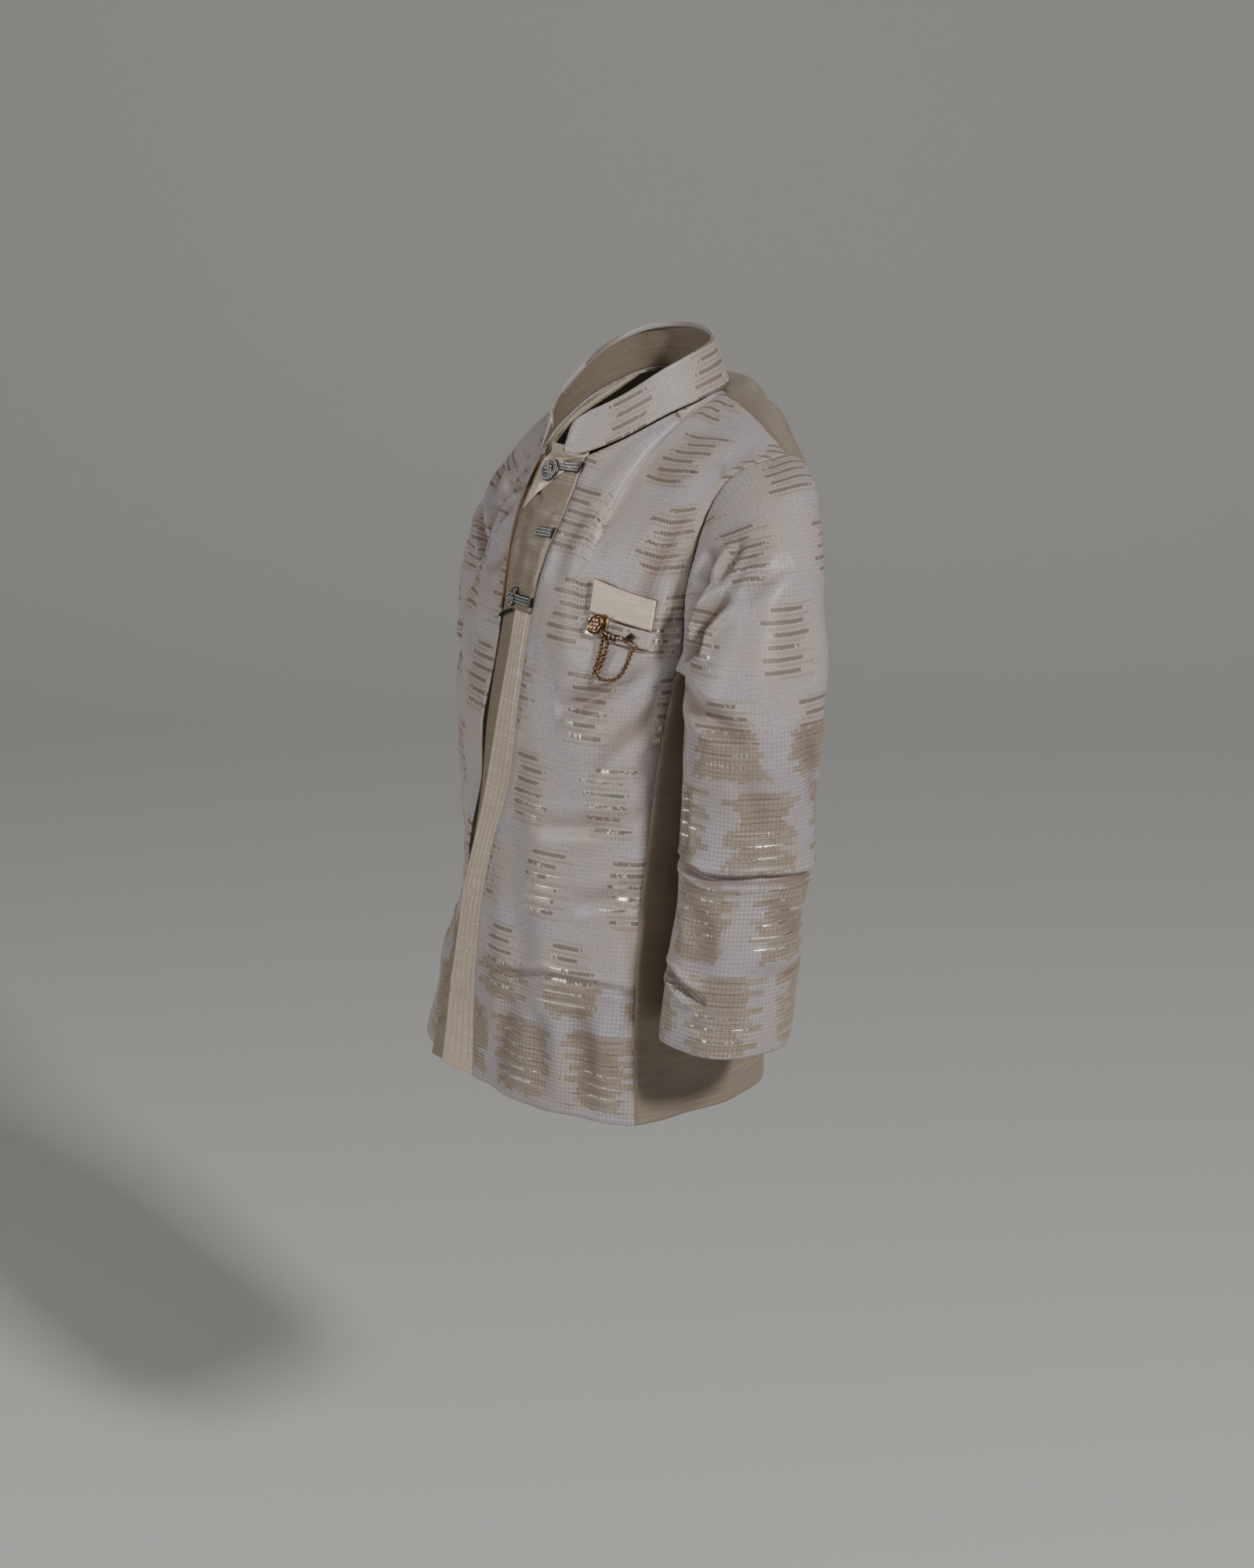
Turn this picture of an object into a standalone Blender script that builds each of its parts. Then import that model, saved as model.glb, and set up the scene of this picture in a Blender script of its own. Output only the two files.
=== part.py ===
"""A child's short sherwani coat, worn and fastened at the neck, modelled in metres with +Z up.

The wearer faces -Y and the wearer's left is +X. The origin is the middle of the neck opening,
level with the side of the neck, where the coat hangs from the shoulders.
Brocade fronts, sleeves and collar meet a plain silk back, collar lining and centre strips.
Every cloth piece is an open surface on the wearer's form, thickened inwards into a wall.
"""

import math

import bpy
import numpy as np
from mathutils import Vector

# Driving dimensions
WALL = 0.0016
SEAM_GAP = 0.0003
SEAM = (0.00016, 0.00016)
SIDE_SEAM_GAP = 0.0009
STRIP_GAP = 0.0010
CLOSURE_END_Z = -0.1520
PLACKET_SLANT = 0.011
PLACKET_SLANT_START_X = 0.011
PLACKET_SLANT_WIDTH = 0.025
BAND_END_GAP = 0.0005
PANEL_TUCK = 0.008
PANEL_EDGE_GAP = 0.0015
PANEL_TOP_OVERLAP = 0.004
HEM_Z = -0.527
UNDERARM_Z = -0.181
FRONT_COLUMNS = 15
BACK_HALF_COLUMNS = 12
BODY_ROWS = 12
YOKE_ROWS = 12
SLEEVE_SIDES = 2 * YOKE_ROWS
CAP_ROWS = 7
BICEPS_Z = -0.195
CORNER_SPREAD = 14.0
ARMHOLE_START_DEGREES = 244.0
ARMHOLE_GAP = 0.0004
UNDERARM_GAP = 0.0032
NECK_GAP = 0.0008
UNDERARM_EASE = 0.014
RIGHT_CAP_DROP = 0.30
COLLAR_COLUMNS = 34
COLLAR_ROWS = 3
COLLAR_BACK_HEIGHT = 0.036
COLLAR_FRONT_HEIGHT = 0.030
COLLAR_LEAN = 0.08
COLLAR_BACK_LEAN = 0.12
COLLAR_LIFT = 0.0013
COLLAR_CORNER_SHARE = 0.10
COLLAR_CORNER_DROP = 0.75
NECKLINE_FRONT_Z = -0.036
NECKLINE_DIP = 0.005
NECK_CORNER_X = 0.032
UNDERLAY = WALL + 0.0005
SHOULDER_ROUND = 0.024
CHEST_FULLNESS = 0.018
SHOULDER_SEAM_GAP = 0.0006

# Body sections: height, half width, middle Y, depth to the front, depth to the back,
# squareness, how much the front is wider than the back, and how far its corner stands out
BODY_TABLE = np.array([
    # z, half_width, middle_y, front_depth, back_depth, squareness, skew, corner
    [-0.527, 0.156, -0.045, 0.112, 0.118, 2.5, 0.05, 0.013],
    [-0.450, 0.151, -0.043, 0.112, 0.115, 2.5, 0.05, 0.010],
    [-0.377, 0.149, -0.040, 0.110, 0.110, 2.5, 0.04, 0.008],
    [-0.300, 0.148, -0.036, 0.106, 0.104, 2.5, 0.03, 0.005],
    [-0.240, 0.147, -0.032, 0.103, 0.098, 2.5, 0.02, 0.002],
    [-0.181, 0.148, -0.028, 0.096, 0.094, 2.5, 0.00, 0.000],
])

# Side seam: height and the angle round the section from the centre front, in degrees
SIDE_SEAM_TABLE = np.array([
    # z, degrees
    [-0.527, 66.0],
    [-0.450, 67.0],
    [-0.377, 68.0],
    [-0.300, 71.0],
    [-0.240, 74.0],
    [-0.181, 78.0],
])

# Centre front above the underarm: height, Y on the centre line and curve of the front across it
CHEST_TABLE = np.array([
    # z, centre_y, curve_per_metre
    [-0.181, -0.1240, 1.0],
    [-0.146, -0.1180, 2.0],
    [-0.120, -0.1140, 3.5],
    [-0.095, -0.1080, 5.5],
    [-0.070, -0.0980, 8.5],
    [-0.052, -0.0880, 10.5],
    [-0.036, -0.0790, 12.0],
])

# Closure: height, edge of the right front, edge of the topstitched band, seam of the left front
CLOSURE_TABLE = np.array([
    # z, right_edge_x, band_edge_x, left_seam_x
    [-0.527, -0.046, -0.037, 0.0045],
    [-0.480, -0.036, -0.031, 0.0055],
    [-0.425, -0.027, -0.023, 0.0075],
    [-0.380, -0.020, -0.016, 0.0110],
    [-0.337, -0.013, -0.008, 0.0190],
    [-0.283, -0.010, 0.003, 0.0360],
    [-0.214, -0.012, 0.009, 0.0360],
    [-0.162, -0.008, 0.011, 0.0335],
    [-0.128, -0.007, 0.012, 0.0355],
    [-0.080, -0.011, 0.013, 0.0380],
    [-0.036, -0.016, 0.014, 0.0310],
])

# Neckline of the left half, from the left front's seam to the centre back
NECKLINE_FRONT = np.array([
    # x, y, z
    [0.0470, -0.0460, -0.0235],
    [0.0580, -0.0120, -0.0060],
    [0.0615, 0.0160, 0.0040],
])
COLLAR_FRONT = np.array([
    # x, y, z
    [0.0165, -0.0793, -0.0376],
    [0.0300, -0.0697, -0.0349],
])
SIDE_NECK = np.array([0.0580, 0.0370, 0.0100])
NECKLINE_BACK = np.array([
    # x, y, z
    [0.0440, 0.0510, 0.0130],
    [0.0240, 0.0590, 0.0150],
])
CENTRE_BACK_NECK = np.array([0.0, 0.0610, 0.0160])
SHOULDER_POINT = np.array([0.1550, 0.0345, -0.0240])
SHOULDER_MIDDLE = (SIDE_NECK + SHOULDER_POINT) / 2 + [0.0, 0.0, 0.003]

# Armhole of the left half, between the shoulder point and the top of the side seam
ARMHOLE_FRONT = np.array([
    # x, y, z
    [0.1490, 0.0055, -0.0310],
    [0.1425, -0.0115, -0.0430],
    [0.1370, -0.0235, -0.0660],
    [0.1340, -0.0330, -0.0980],
    [0.1360, -0.0415, -0.1350],
    [0.1425, -0.0480, -0.1650],
])
ARMHOLE_BACK = np.array([
    # x, y, z
    [0.1490, -0.0150, -0.1800],
    [0.1480, 0.0150, -0.1700],
    [0.1450, 0.0380, -0.1480],
    [0.1420, 0.0540, -0.1180],
    [0.1430, 0.0570, -0.0850],
    [0.1480, 0.0580, -0.0520],
    [0.1530, 0.0500, -0.0300],
])

# Centre back above the underarm
CENTRE_BACK = np.array([
    # x, y, z
    [0.0, 0.0690, -0.1300],
    [0.0, 0.0730, -0.0700],
    [0.0, 0.0690, -0.0200],
])

# Backward fall of the coat's slacker right side below the chest
RIGHT_FALL_TABLE = np.array([
    # z, fall
    [-0.527, 0.000],
    [-0.450, 0.016],
    [-0.400, 0.028],
    [-0.350, 0.026],
    [-0.300, 0.014],
    [-0.250, 0.006],
    [-0.200, 0.001],
    [-0.181, 0.000],
    [-0.036, 0.000],
])
RIGHT_FALL_SPREAD = 0.060

# Forward flare of the closure strips at the band's free edge
FLARE_TABLE = np.array([
    # z, forward
    [-0.527, 0.0075],
    [-0.450, 0.0065],
    [-0.400, 0.0052],
    [-0.370, 0.0035],
    [-0.335, 0.0010],
    [-0.310, 0.0],
    [-0.150, 0.0],
])

# Free left edge of the centre panel below the point where it comes out over the right front
PANEL_EDGE_TABLE = np.array([
    # z, edge_x
    [-0.527, -0.056],
    [-0.480, -0.049],
    [-0.430, -0.035],
    [-0.400, -0.0245],
    [-0.385, -0.0180],
])

# Sleeve sections below the cap: height, middle and half sizes; the right arm hangs further back
SLEEVE_TABLE = np.array([
    # z, middle_x, middle_y, half_x, half_y, right_middle_y
    [-0.195, 0.2020, -0.0230, 0.0495, 0.0515, -0.001],
    [-0.255, 0.2030, -0.0250, 0.0490, 0.0510, 0.004],
    [-0.313, 0.2040, -0.0285, 0.0480, 0.0505, 0.004],
    [-0.370, 0.2055, -0.0350, 0.0475, 0.0500, 0.004],
    [-0.410, 0.2070, -0.0420, 0.0470, 0.0490, 0.004],
    [-0.450, 0.2080, -0.0480, 0.0465, 0.0470, 0.004],
])
SLEEVE_ROWS = 11


def interpolate(table, z):
    """Reads a table's other columns at a height, smoothly between its rows."""
    order = np.argsort(table[:, 0])
    rows = table[order]
    heights = rows[:, 0]
    z = np.clip(z, heights[0], heights[-1])
    slopes = np.gradient(rows[:, 1:], heights, axis=0)
    i = int(np.clip(np.searchsorted(heights, z) - 1, 0, len(heights) - 2))
    span = heights[i + 1] - heights[i]
    t = (z - heights[i]) / span
    start, end = rows[i, 1:], rows[i + 1, 1:]
    return (
        (2 * t**3 - 3 * t**2 + 1) * start
        + (t**3 - 2 * t**2 + t) * span * slopes[i]
        + (3 * t**2 - 2 * t**3) * end
        + (t**3 - t**2) * span * slopes[i + 1]
    )


def curve_through(points, count):
    """A smooth curve through the points, as count points at even distances along it."""
    points = np.asarray(points, float)
    ring = np.vstack([2 * points[0] - points[1], points, 2 * points[-1] - points[-2]])
    dense = []
    for before, start, end, after in zip(ring[:-3], ring[1:-2], ring[2:-1], ring[3:]):
        t = np.linspace(0.0, 1.0, 16, endpoint=False)[:, None]
        slope_start = (end - before) / 2
        slope_end = (after - start) / 2
        dense.append(
            (2 * t**3 - 3 * t**2 + 1) * start
            + (t**3 - 2 * t**2 + t) * slope_start
            + (3 * t**2 - 2 * t**3) * end
            + (t**3 - t**2) * slope_end
        )
    dense.append(ring[-2:-1])
    dense = np.vstack(dense)
    return evenly(dense, count)


def evenly(path, count):
    """The path's points read again at even distances."""
    steps = np.linalg.norm(np.diff(path, axis=0), axis=1)
    along = np.concatenate([[0.0], np.cumsum(steps)])
    wanted = np.linspace(0.0, along[-1], count)
    return np.stack([np.interp(wanted, along, path[:, axis]) for axis in range(3)], axis=1)


def section_point(z, degrees):
    """A point of the body section at this height, at this angle from the centre front."""
    half_width, middle_y, front, back, squareness, skew, corner = interpolate(BODY_TABLE, z)
    angle = math.radians(degrees)
    sine, cosine = math.sin(angle), math.cos(angle)
    across = math.copysign(abs(sine) ** (2 / squareness), sine)
    ahead = math.copysign(abs(cosine) ** (2 / squareness), cosine)
    depth = front if ahead > 0 else back
    crease = corner * math.exp(-(((abs(degrees) - side_degrees(z)) / CORNER_SPREAD) ** 2))
    x = half_width * across * (1 + skew * ahead) + math.copysign(crease, across)
    return np.array([x, middle_y - depth * ahead, z])


def front_y(x, z):
    """Y of the fronts' outer surface near the centre front."""
    if z <= UNDERARM_Z:
        half_width, middle_y, front, _, squareness, skew, _ = interpolate(BODY_TABLE, z)
        share = abs(x) / (half_width * (1 + skew))
        return middle_y - front * (1 - share**squareness) ** (1 / squareness)
    centre_y, curve = interpolate(CHEST_TABLE, z)
    return centre_y + curve * x * x


def closure_x(z):
    """X of the right front's edge, the band's edge and the left front's seam at a height."""
    return interpolate(CLOSURE_TABLE, z)


def side_degrees(z):
    return float(interpolate(SIDE_SEAM_TABLE, z)[0])


def ring_arc(z, start_degrees, end_degrees, count):
    """Even points along the body section between two angles."""
    angles = np.linspace(start_degrees, end_degrees, 40)
    return evenly(np.array([section_point(z, angle) for angle in angles]), count)


def angle_at_x(z, x):
    """The section's angle at which it has this X, on the front."""
    half_width, _, _, _, squareness, skew, _ = interpolate(BODY_TABLE, z)
    share = min(abs(x) / (half_width * (1 + skew)), 1.0)
    return math.copysign(math.degrees(math.asin(share ** (squareness / 2))), x)


def coons(bottom, top, inner, outer):
    """A surface between four edges that meet at their ends; rows run from bottom to top."""
    across = np.linspace(0.0, 1.0, len(bottom))[None, :, None]
    upward = np.linspace(0.0, 1.0, len(inner))[:, None, None]
    ruled_up = (1 - upward) * bottom[None] + upward * top[None]
    ruled_across = (1 - across) * inner[:, None] + across * outer[:, None]
    corners = (
        (1 - upward) * ((1 - across) * bottom[0] + across * bottom[-1])
        + upward * ((1 - across) * top[0] + across * top[-1])
    )
    return ruled_up + ruled_across - corners


def mirrored(points):
    return points * np.array([-1.0, 1.0, 1.0])


def settled(grid):
    """A body grid with its right side let fall back."""
    grid = grid.copy()
    x = np.minimum(grid[..., 0], 0.0)
    share = 1 - np.exp(-((x / RIGHT_FALL_SPREAD) ** 2))
    heights = np.minimum(grid[..., 2], RIGHT_FALL_TABLE[-1, 0])
    order = np.argsort(RIGHT_FALL_TABLE[:, 0])
    fall = np.interp(heights, RIGHT_FALL_TABLE[order, 0], RIGHT_FALL_TABLE[order, 1])
    grid[..., 1] += fall * share
    return grid


def armhole(between):
    """Half of the left armhole, from the top of the side seam to the shoulder point."""
    side_seam_top = section_point(UNDERARM_Z, side_degrees(UNDERARM_Z))
    return curve_through(np.vstack([side_seam_top, between, SHOULDER_POINT]), YOKE_ROWS + 1)


def front_grid(inner_column, side):
    """Outer surface of one front: rows from hem to shoulder, columns from its inner edge outwards.

    inner_column picks the closure line that it starts from, and side is 1 for the left, -1 for the right.
    """
    rows = []
    for z in np.linspace(HEM_Z, UNDERARM_Z, BODY_ROWS + 1):
        inner_x = side * closure_x(z)[inner_column]
        rows.append(ring_arc(z, angle_at_x(z, inner_x), side_degrees(z), FRONT_COLUMNS + 1))
    lower = np.array(rows)
    inner = []
    for z in np.linspace(UNDERARM_Z, NECKLINE_FRONT_Z, 24):
        x = side * closure_x(z)[inner_column]
        inner.append([x, front_y(x, z), z])
    inner = evenly(np.array(inner), YOKE_ROWS + 1)
    inner[0] = lower[-1, 0]
    outer = armhole(ARMHOLE_FRONT[::-1])
    neck_columns = FRONT_COLUMNS // 2
    corner = [NECK_CORNER_X, front_y(NECK_CORNER_X, NECKLINE_FRONT_Z), NECKLINE_FRONT_Z]
    start = [inner[-1]] if side > 0 else [inner[-1], corner]
    neckline = curve_through(np.vstack([*start, NECKLINE_FRONT, SIDE_NECK]), neck_columns + 1)
    shoulder = curve_through(
        np.vstack([SIDE_NECK, SHOULDER_MIDDLE, SHOULDER_POINT]), FRONT_COLUMNS - neck_columns + 1
    )
    top = np.vstack([neckline, shoulder[1:]])
    upper = coons(lower[-1], top, inner, outer)
    upward = np.linspace(0.0, 1.0, YOKE_ROWS + 1)
    across = np.linspace(0.0, 1.0, FRONT_COLUMNS + 1)
    fullness = CHEST_FULLNESS * np.sin(np.pi * upward**0.8)[:, None] * np.sin(np.pi * across)[None, :]
    upper[:, :, 1] -= fullness
    grid = np.vstack([lower, upper[1:]])
    return grid if side > 0 else mirrored(grid)


def back_grid():
    """Outer surface of the back: rows from hem to neck, columns from the left side to the right."""
    rows = []
    for z in np.linspace(HEM_Z, UNDERARM_Z, BODY_ROWS + 1):
        rows.append(ring_arc(z, side_degrees(z), 180.0, BACK_HALF_COLUMNS + 1))
    lower = np.array(rows)
    outer = armhole(ARMHOLE_BACK)
    inner = curve_through(np.vstack([lower[-1, -1], CENTRE_BACK, CENTRE_BACK_NECK]), YOKE_ROWS + 1)
    shoulder_columns = BACK_HALF_COLUMNS // 2
    shoulder = curve_through(
        np.vstack([SHOULDER_POINT, SHOULDER_MIDDLE, SIDE_NECK]), shoulder_columns + 1
    )
    neckline = curve_through(
        np.vstack([SIDE_NECK, NECKLINE_BACK, CENTRE_BACK_NECK]),
        BACK_HALF_COLUMNS - shoulder_columns + 1,
    )
    top = np.vstack([shoulder, neckline[1:]])
    upper = coons(lower[-1], top, outer, inner)
    upward = np.linspace(0.0, 1.0, YOKE_ROWS + 1)
    across = np.linspace(0.0, 1.0, BACK_HALF_COLUMNS + 1)
    round_up = upward**4 * (1 - upward) / (0.8**4 * 0.2)
    swell = SHOULDER_ROUND * round_up[:, None] * np.sin(np.pi * np.minimum(across, 0.5))[None, :]
    upper += swell[:, :, None] * np.array([0.0, 0.6, 0.8])
    half = np.vstack([lower, upper[1:]])
    return np.concatenate([half, mirrored(half)[:, -2::-1]], axis=1)


def sleeve_grid(side):
    """Outer surface of a sleeve: rows from the armhole to the cuff, closed round each row."""
    loop = np.vstack([armhole(ARMHOLE_FRONT[::-1])[:-1], armhole(ARMHOLE_BACK)[:0:-1]])
    low = (SHOULDER_POINT[2] - loop[:, 2:]) / (SHOULDER_POINT[2] - UNDERARM_Z)
    loop = loop + low**4 * [UNDERARM_GAP, 0.0, 0.0]
    turn = np.radians(ARMHOLE_START_DEGREES - np.arange(SLEEVE_SIDES) * 360.0 / SLEEVE_SIDES)

    def ring(z):
        middle_x, middle_y, half_x, half_y, right_y = interpolate(SLEEVE_TABLE, z)
        middle = middle_y if side > 0 else right_y
        return np.stack(
            [middle_x + half_x * np.sin(turn), middle + half_y * np.cos(turn), np.full(SLEEVE_SIDES, z)],
            axis=1,
        )

    biceps = ring(BICEPS_Z)
    reach = biceps - loop
    leave = reach * [1.35, 0.9, 0.0 if side > 0 else RIGHT_CAP_DROP]
    arrive = reach * [0.0, 0.5, 1.5]
    leave += low**4 * [UNDERARM_EASE, 0.0, 0.0]
    rows = []
    for t in np.linspace(0.0, 1.0, CAP_ROWS + 1):
        rows.append(
            (2 * t**3 - 3 * t**2 + 1) * loop
            + (t**3 - 2 * t**2 + t) * leave
            + (3 * t**2 - 2 * t**3) * biceps
            + (t**3 - t**2) * arrive
        )
    for z in np.linspace(BICEPS_Z, SLEEVE_TABLE[-1, 0], SLEEVE_ROWS + 1)[1:]:
        rows.append(ring(z))
    grid = np.array(rows)
    return grid if side > 0 else mirrored(grid)


def collar_rings():
    """Base and top edge of the stand collar, from its left front end round the back to its right end."""
    left = np.vstack([COLLAR_FRONT, NECKLINE_FRONT, SIDE_NECK, NECKLINE_BACK])
    whole = np.vstack([left, CENTRE_BACK_NECK, mirrored(left)[::-1]])
    base = curve_through(whole, COLLAR_COLUMNS + 1)
    share = np.abs(np.linspace(-1.0, 1.0, COLLAR_COLUMNS + 1))
    height = COLLAR_BACK_HEIGHT + (COLLAR_FRONT_HEIGHT - COLLAR_BACK_HEIGHT) * share**2
    corner = np.clip((share - 1 + COLLAR_CORNER_SHARE) / COLLAR_CORNER_SHARE, 0.0, 1.0)
    height = height * np.sqrt(1 - COLLAR_CORNER_DROP * corner**2)
    behind = np.clip(base[:, 1:2] / CENTRE_BACK_NECK[1], 0.0, 1.0)
    lean = base * [1.0, 1.0, 0.0] * (COLLAR_LEAN + COLLAR_BACK_LEAN * behind)
    return base, height, lean


def collar_grid(out):
    """The collar's surface, moved out from its middle by a distance."""
    base, height, lean = collar_rings()
    outward = base * [1.0, 1.0, 0.0]
    outward = outward / np.linalg.norm(outward, axis=1)[:, None]
    rows = []
    for t in np.linspace(0.0, 1.0, COLLAR_ROWS + 1):
        upward = (COLLAR_LIFT + height[:, None] * t) * [0.0, 0.0, 1.0]
        rows.append(base + outward * out + upward - lean * t)
    return np.array(rows)


def neckline_z(x):
    """Height of the front neckline near the centre."""
    return NECKLINE_FRONT_Z - NECKLINE_DIP * (1 - (x / NECK_CORNER_X) ** 2)


def strip_grid(edge_x, end_z, rows, columns, ahead):
    """A strip on the fronts, from its lower end to its upper one.

    edge_x gives both edges' X at a height, end_z both ends' height at an X,
    and ahead the distance that the cloth stands in front of the fronts' surface.
    """
    grid = []
    for up in np.linspace(0.0, 1.0, rows + 1):
        line = []
        for across in np.linspace(0.0, 1.0, columns + 1):
            z = end_z(0.0)[0] * (1 - up) + end_z(0.0)[1] * up
            for _ in range(3):
                left, right = edge_x(z)
                x = left * (1 - across) + right * across
                z = end_z(x)[0] * (1 - up) + end_z(x)[1] * up
            line.append([x, front_y(x, z) - ahead(x, z), z])
        grid.append(line)
    return np.array(grid)


def flare(x, z):
    """How far the closure cloth swings forward, growing from the left front's seam outwards."""
    _, band_edge, seam = closure_x(z)
    return float(interpolate(FLARE_TABLE, z)[0]) * max(0.0, (seam - x) / (seam - band_edge))


def closure_edges(z):
    right_edge, _, seam = closure_x(z)
    return right_edge + STRIP_GAP, seam - STRIP_GAP


def closure_ends(x):
    """Lower end of the placket, slanting down to the right front, and its end at the neckline."""
    share = max(0.0, min(1.0, (PLACKET_SLANT_START_X - x) / PLACKET_SLANT_WIDTH))
    return CLOSURE_END_Z - PLACKET_SLANT * share**1.5, neckline_z(x)


def band_edges(z):
    _, band_edge, seam = closure_x(z)
    return band_edge, seam - STRIP_GAP


def band_ends(x):
    return HEM_Z, CLOSURE_END_Z - BAND_END_GAP


def panel_edges(z):
    right_edge, band_edge, _ = closure_x(z)
    if z > PANEL_EDGE_TABLE[-1, 0]:
        return right_edge + PANEL_EDGE_GAP, band_edge + PANEL_TUCK
    return float(interpolate(PANEL_EDGE_TABLE, z)[0]), band_edge + PANEL_TUCK


def panel_ends(x):
    return HEM_Z + 0.001, CLOSURE_END_Z + PANEL_TOP_OVERLAP


def panel_ahead(x, z):
    return flare(x, z) - UNDERLAY


def surface_point(grid, x, z, out=0.0):
    """The point of a front's surface at this X and Z, moved out from it, and the outward normal."""
    rows, columns = grid.shape[:2]
    start = np.abs(grid[:, :, 0] - x) + np.abs(grid[:, :, 2] - z)
    row, column = np.unravel_index(np.argmin(start), start.shape)
    place = np.array([float(row), float(column)])

    def patch(at):
        j = int(np.clip(at[0], 0, rows - 2))
        i = int(np.clip(at[1], 0, columns - 2))
        down, across = at[0] - j, at[1] - i
        low = grid[j, i] * (1 - across) + grid[j, i + 1] * across
        high = grid[j + 1, i] * (1 - across) + grid[j + 1, i + 1] * across
        upward = high - low
        sideways = (grid[j, i + 1] - grid[j, i]) * (1 - down) + (grid[j + 1, i + 1] - grid[j + 1, i]) * down
        return low * (1 - down) + high * down, upward, sideways

    for _ in range(12):
        point, upward, sideways = patch(place)
        slopes = np.array([[upward[0], sideways[0]], [upward[2], sideways[2]]])
        place = place + np.linalg.solve(slopes, [x - point[0], z - point[2]])
    point, upward, sideways = patch(place)
    normal = np.cross(sideways, upward)
    normal = normal / np.linalg.norm(normal)
    normal = normal if normal[1] < 0 else -normal
    return point + normal * out, normal


def laid_patch(grid, corners, rows, columns, out):
    """A four-cornered piece on a front: corners are (x, z) at lower left, lower right, upper right, upper left."""
    lower_left, lower_right, upper_right, upper_left = np.array(corners)
    result = []
    for up in np.linspace(0.0, 1.0, rows + 1):
        line = []
        for across in np.linspace(0.0, 1.0, columns + 1):
            low = lower_left * (1 - across) + lower_right * across
            high = upper_left * (1 - across) + upper_right * across
            x, z = low * (1 - up) + high * up
            line.append(surface_point(grid, x, z, out)[0])
        result.append(line)
    return np.array(result)


def trimmed(grid, end_gap, side_gap, closed=False):
    """The grid with its ends and its side edges drawn in by gaps, each one size or one for every edge point."""
    grid = grid.copy()
    edges = [(0, 1), (-1, -2)]
    for (edge, beside), inset in zip(edges, end_gap):
        step = grid[beside] - grid[edge]
        grid[edge] += step * (inset / np.linalg.norm(step, axis=1))[:, None]
    if closed:
        return grid
    for (edge, beside), inset in zip(edges, side_gap):
        step = grid[:, beside] - grid[:, edge]
        grid[:, edge] += step * (inset / np.linalg.norm(step, axis=1))[:, None]
    return grid


def principled(name, colour, roughness, metallic=0.0):
    material = bpy.data.materials.new(name)
    material.use_nodes = True
    shader = material.node_tree.nodes["Principled BSDF"]
    shader.inputs["Base Color"].default_value = (*colour, 1.0)
    shader.inputs["Roughness"].default_value = roughness
    shader.inputs["Metallic"].default_value = metallic
    return material


def cloth_wall(name, grid, material, outside, closed=False, wall=WALL, end_gap=SEAM, side_gap=SEAM):
    """One cloth piece: its outer surface as a grid of quads, thickened inwards."""
    grid = trimmed(grid, end_gap, side_gap, closed)
    rows, columns = grid.shape[:2]
    around = columns if closed else columns - 1
    faces = []
    for j in range(rows - 1):
        for i in range(around):
            after = (i + 1) % columns
            faces.append((j * columns + i, j * columns + after, (j + 1) * columns + after, (j + 1) * columns + i))
    mesh = bpy.data.meshes.new(name)
    mesh.from_pydata(grid.reshape(-1, 3).tolist(), [], faces)
    mesh.update()
    middle = len(faces) // 2
    if mesh.polygons[middle].normal.dot(Vector(outside(mesh.polygons[middle].center))) < 0:
        mesh.flip_normals()
    mesh.shade_smooth()
    mesh.materials.append(material)
    piece = bpy.data.objects.new(name, mesh)
    parts.objects.link(piece)
    shell = piece.modifiers.new("Wall", "SOLIDIFY")
    shell.thickness = wall
    shell.offset = -1.0
    return piece


def tube(name, points, radius, material):
    """A round cord or edge through the points, with closed ends."""
    curve = bpy.data.curves.new(name, "CURVE")
    curve.dimensions = "3D"
    curve.bevel_depth = radius
    curve.bevel_resolution = 2
    curve.use_fill_caps = True
    spline = curve.splines.new("POLY")
    spline.points.add(len(points) - 1)
    for point, place in zip(spline.points, points):
        point.co = (*place, 1.0)
    curve.materials.append(material)
    piece = bpy.data.objects.new(name, curve)
    parts.objects.link(piece)
    return piece


def turned(name, profile, steps, place, axis, material):
    """A round piece: a profile of (radius, height) rows turned about its axis and seated at a place."""
    mesh = bpy.data.meshes.new(name)
    vertices = [(radius, 0.0, height) for radius, height in profile]
    mesh.from_pydata(vertices, [(i, i + 1) for i in range(len(vertices) - 1)], [])
    mesh.materials.append(material)
    piece = bpy.data.objects.new(name, mesh)
    parts.objects.link(piece)
    screw = piece.modifiers.new("Turn", "SCREW")
    screw.steps = steps
    screw.render_steps = steps
    screw.use_merge_vertices = True
    screw.merge_threshold = 0.00001
    piece.rotation_mode = "QUATERNION"
    piece.rotation_quaternion = Vector(axis).to_track_quat("Z", "Y")
    piece.location = Vector(place)
    return piece


def ahead_of_body(centre):
    return (centre[0], centre[1] + 0.03, 0.0)


for leftover in list(bpy.data.objects):
    bpy.data.objects.remove(leftover, do_unlink=True)
parts = bpy.data.collections.new("sherwani_coat")
bpy.context.scene.collection.children.link(parts)

brocade = principled("Lilac and ivory brocade", (0.62, 0.58, 0.60), 0.55)
silk = principled("Champagne dupion silk", (0.52, 0.44, 0.33), 0.45)
piping_satin = principled("Amber satin piping", (0.45, 0.24, 0.08), 0.4)
black_cord = principled("Black cord", (0.015, 0.014, 0.014), 0.6)
silver = principled("Silver and glass stones", (0.75, 0.75, 0.76), 0.2, 1.0)
antique_gold = principled("Antique gold metal", (0.42, 0.26, 0.09), 0.35, 1.0)

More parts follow.
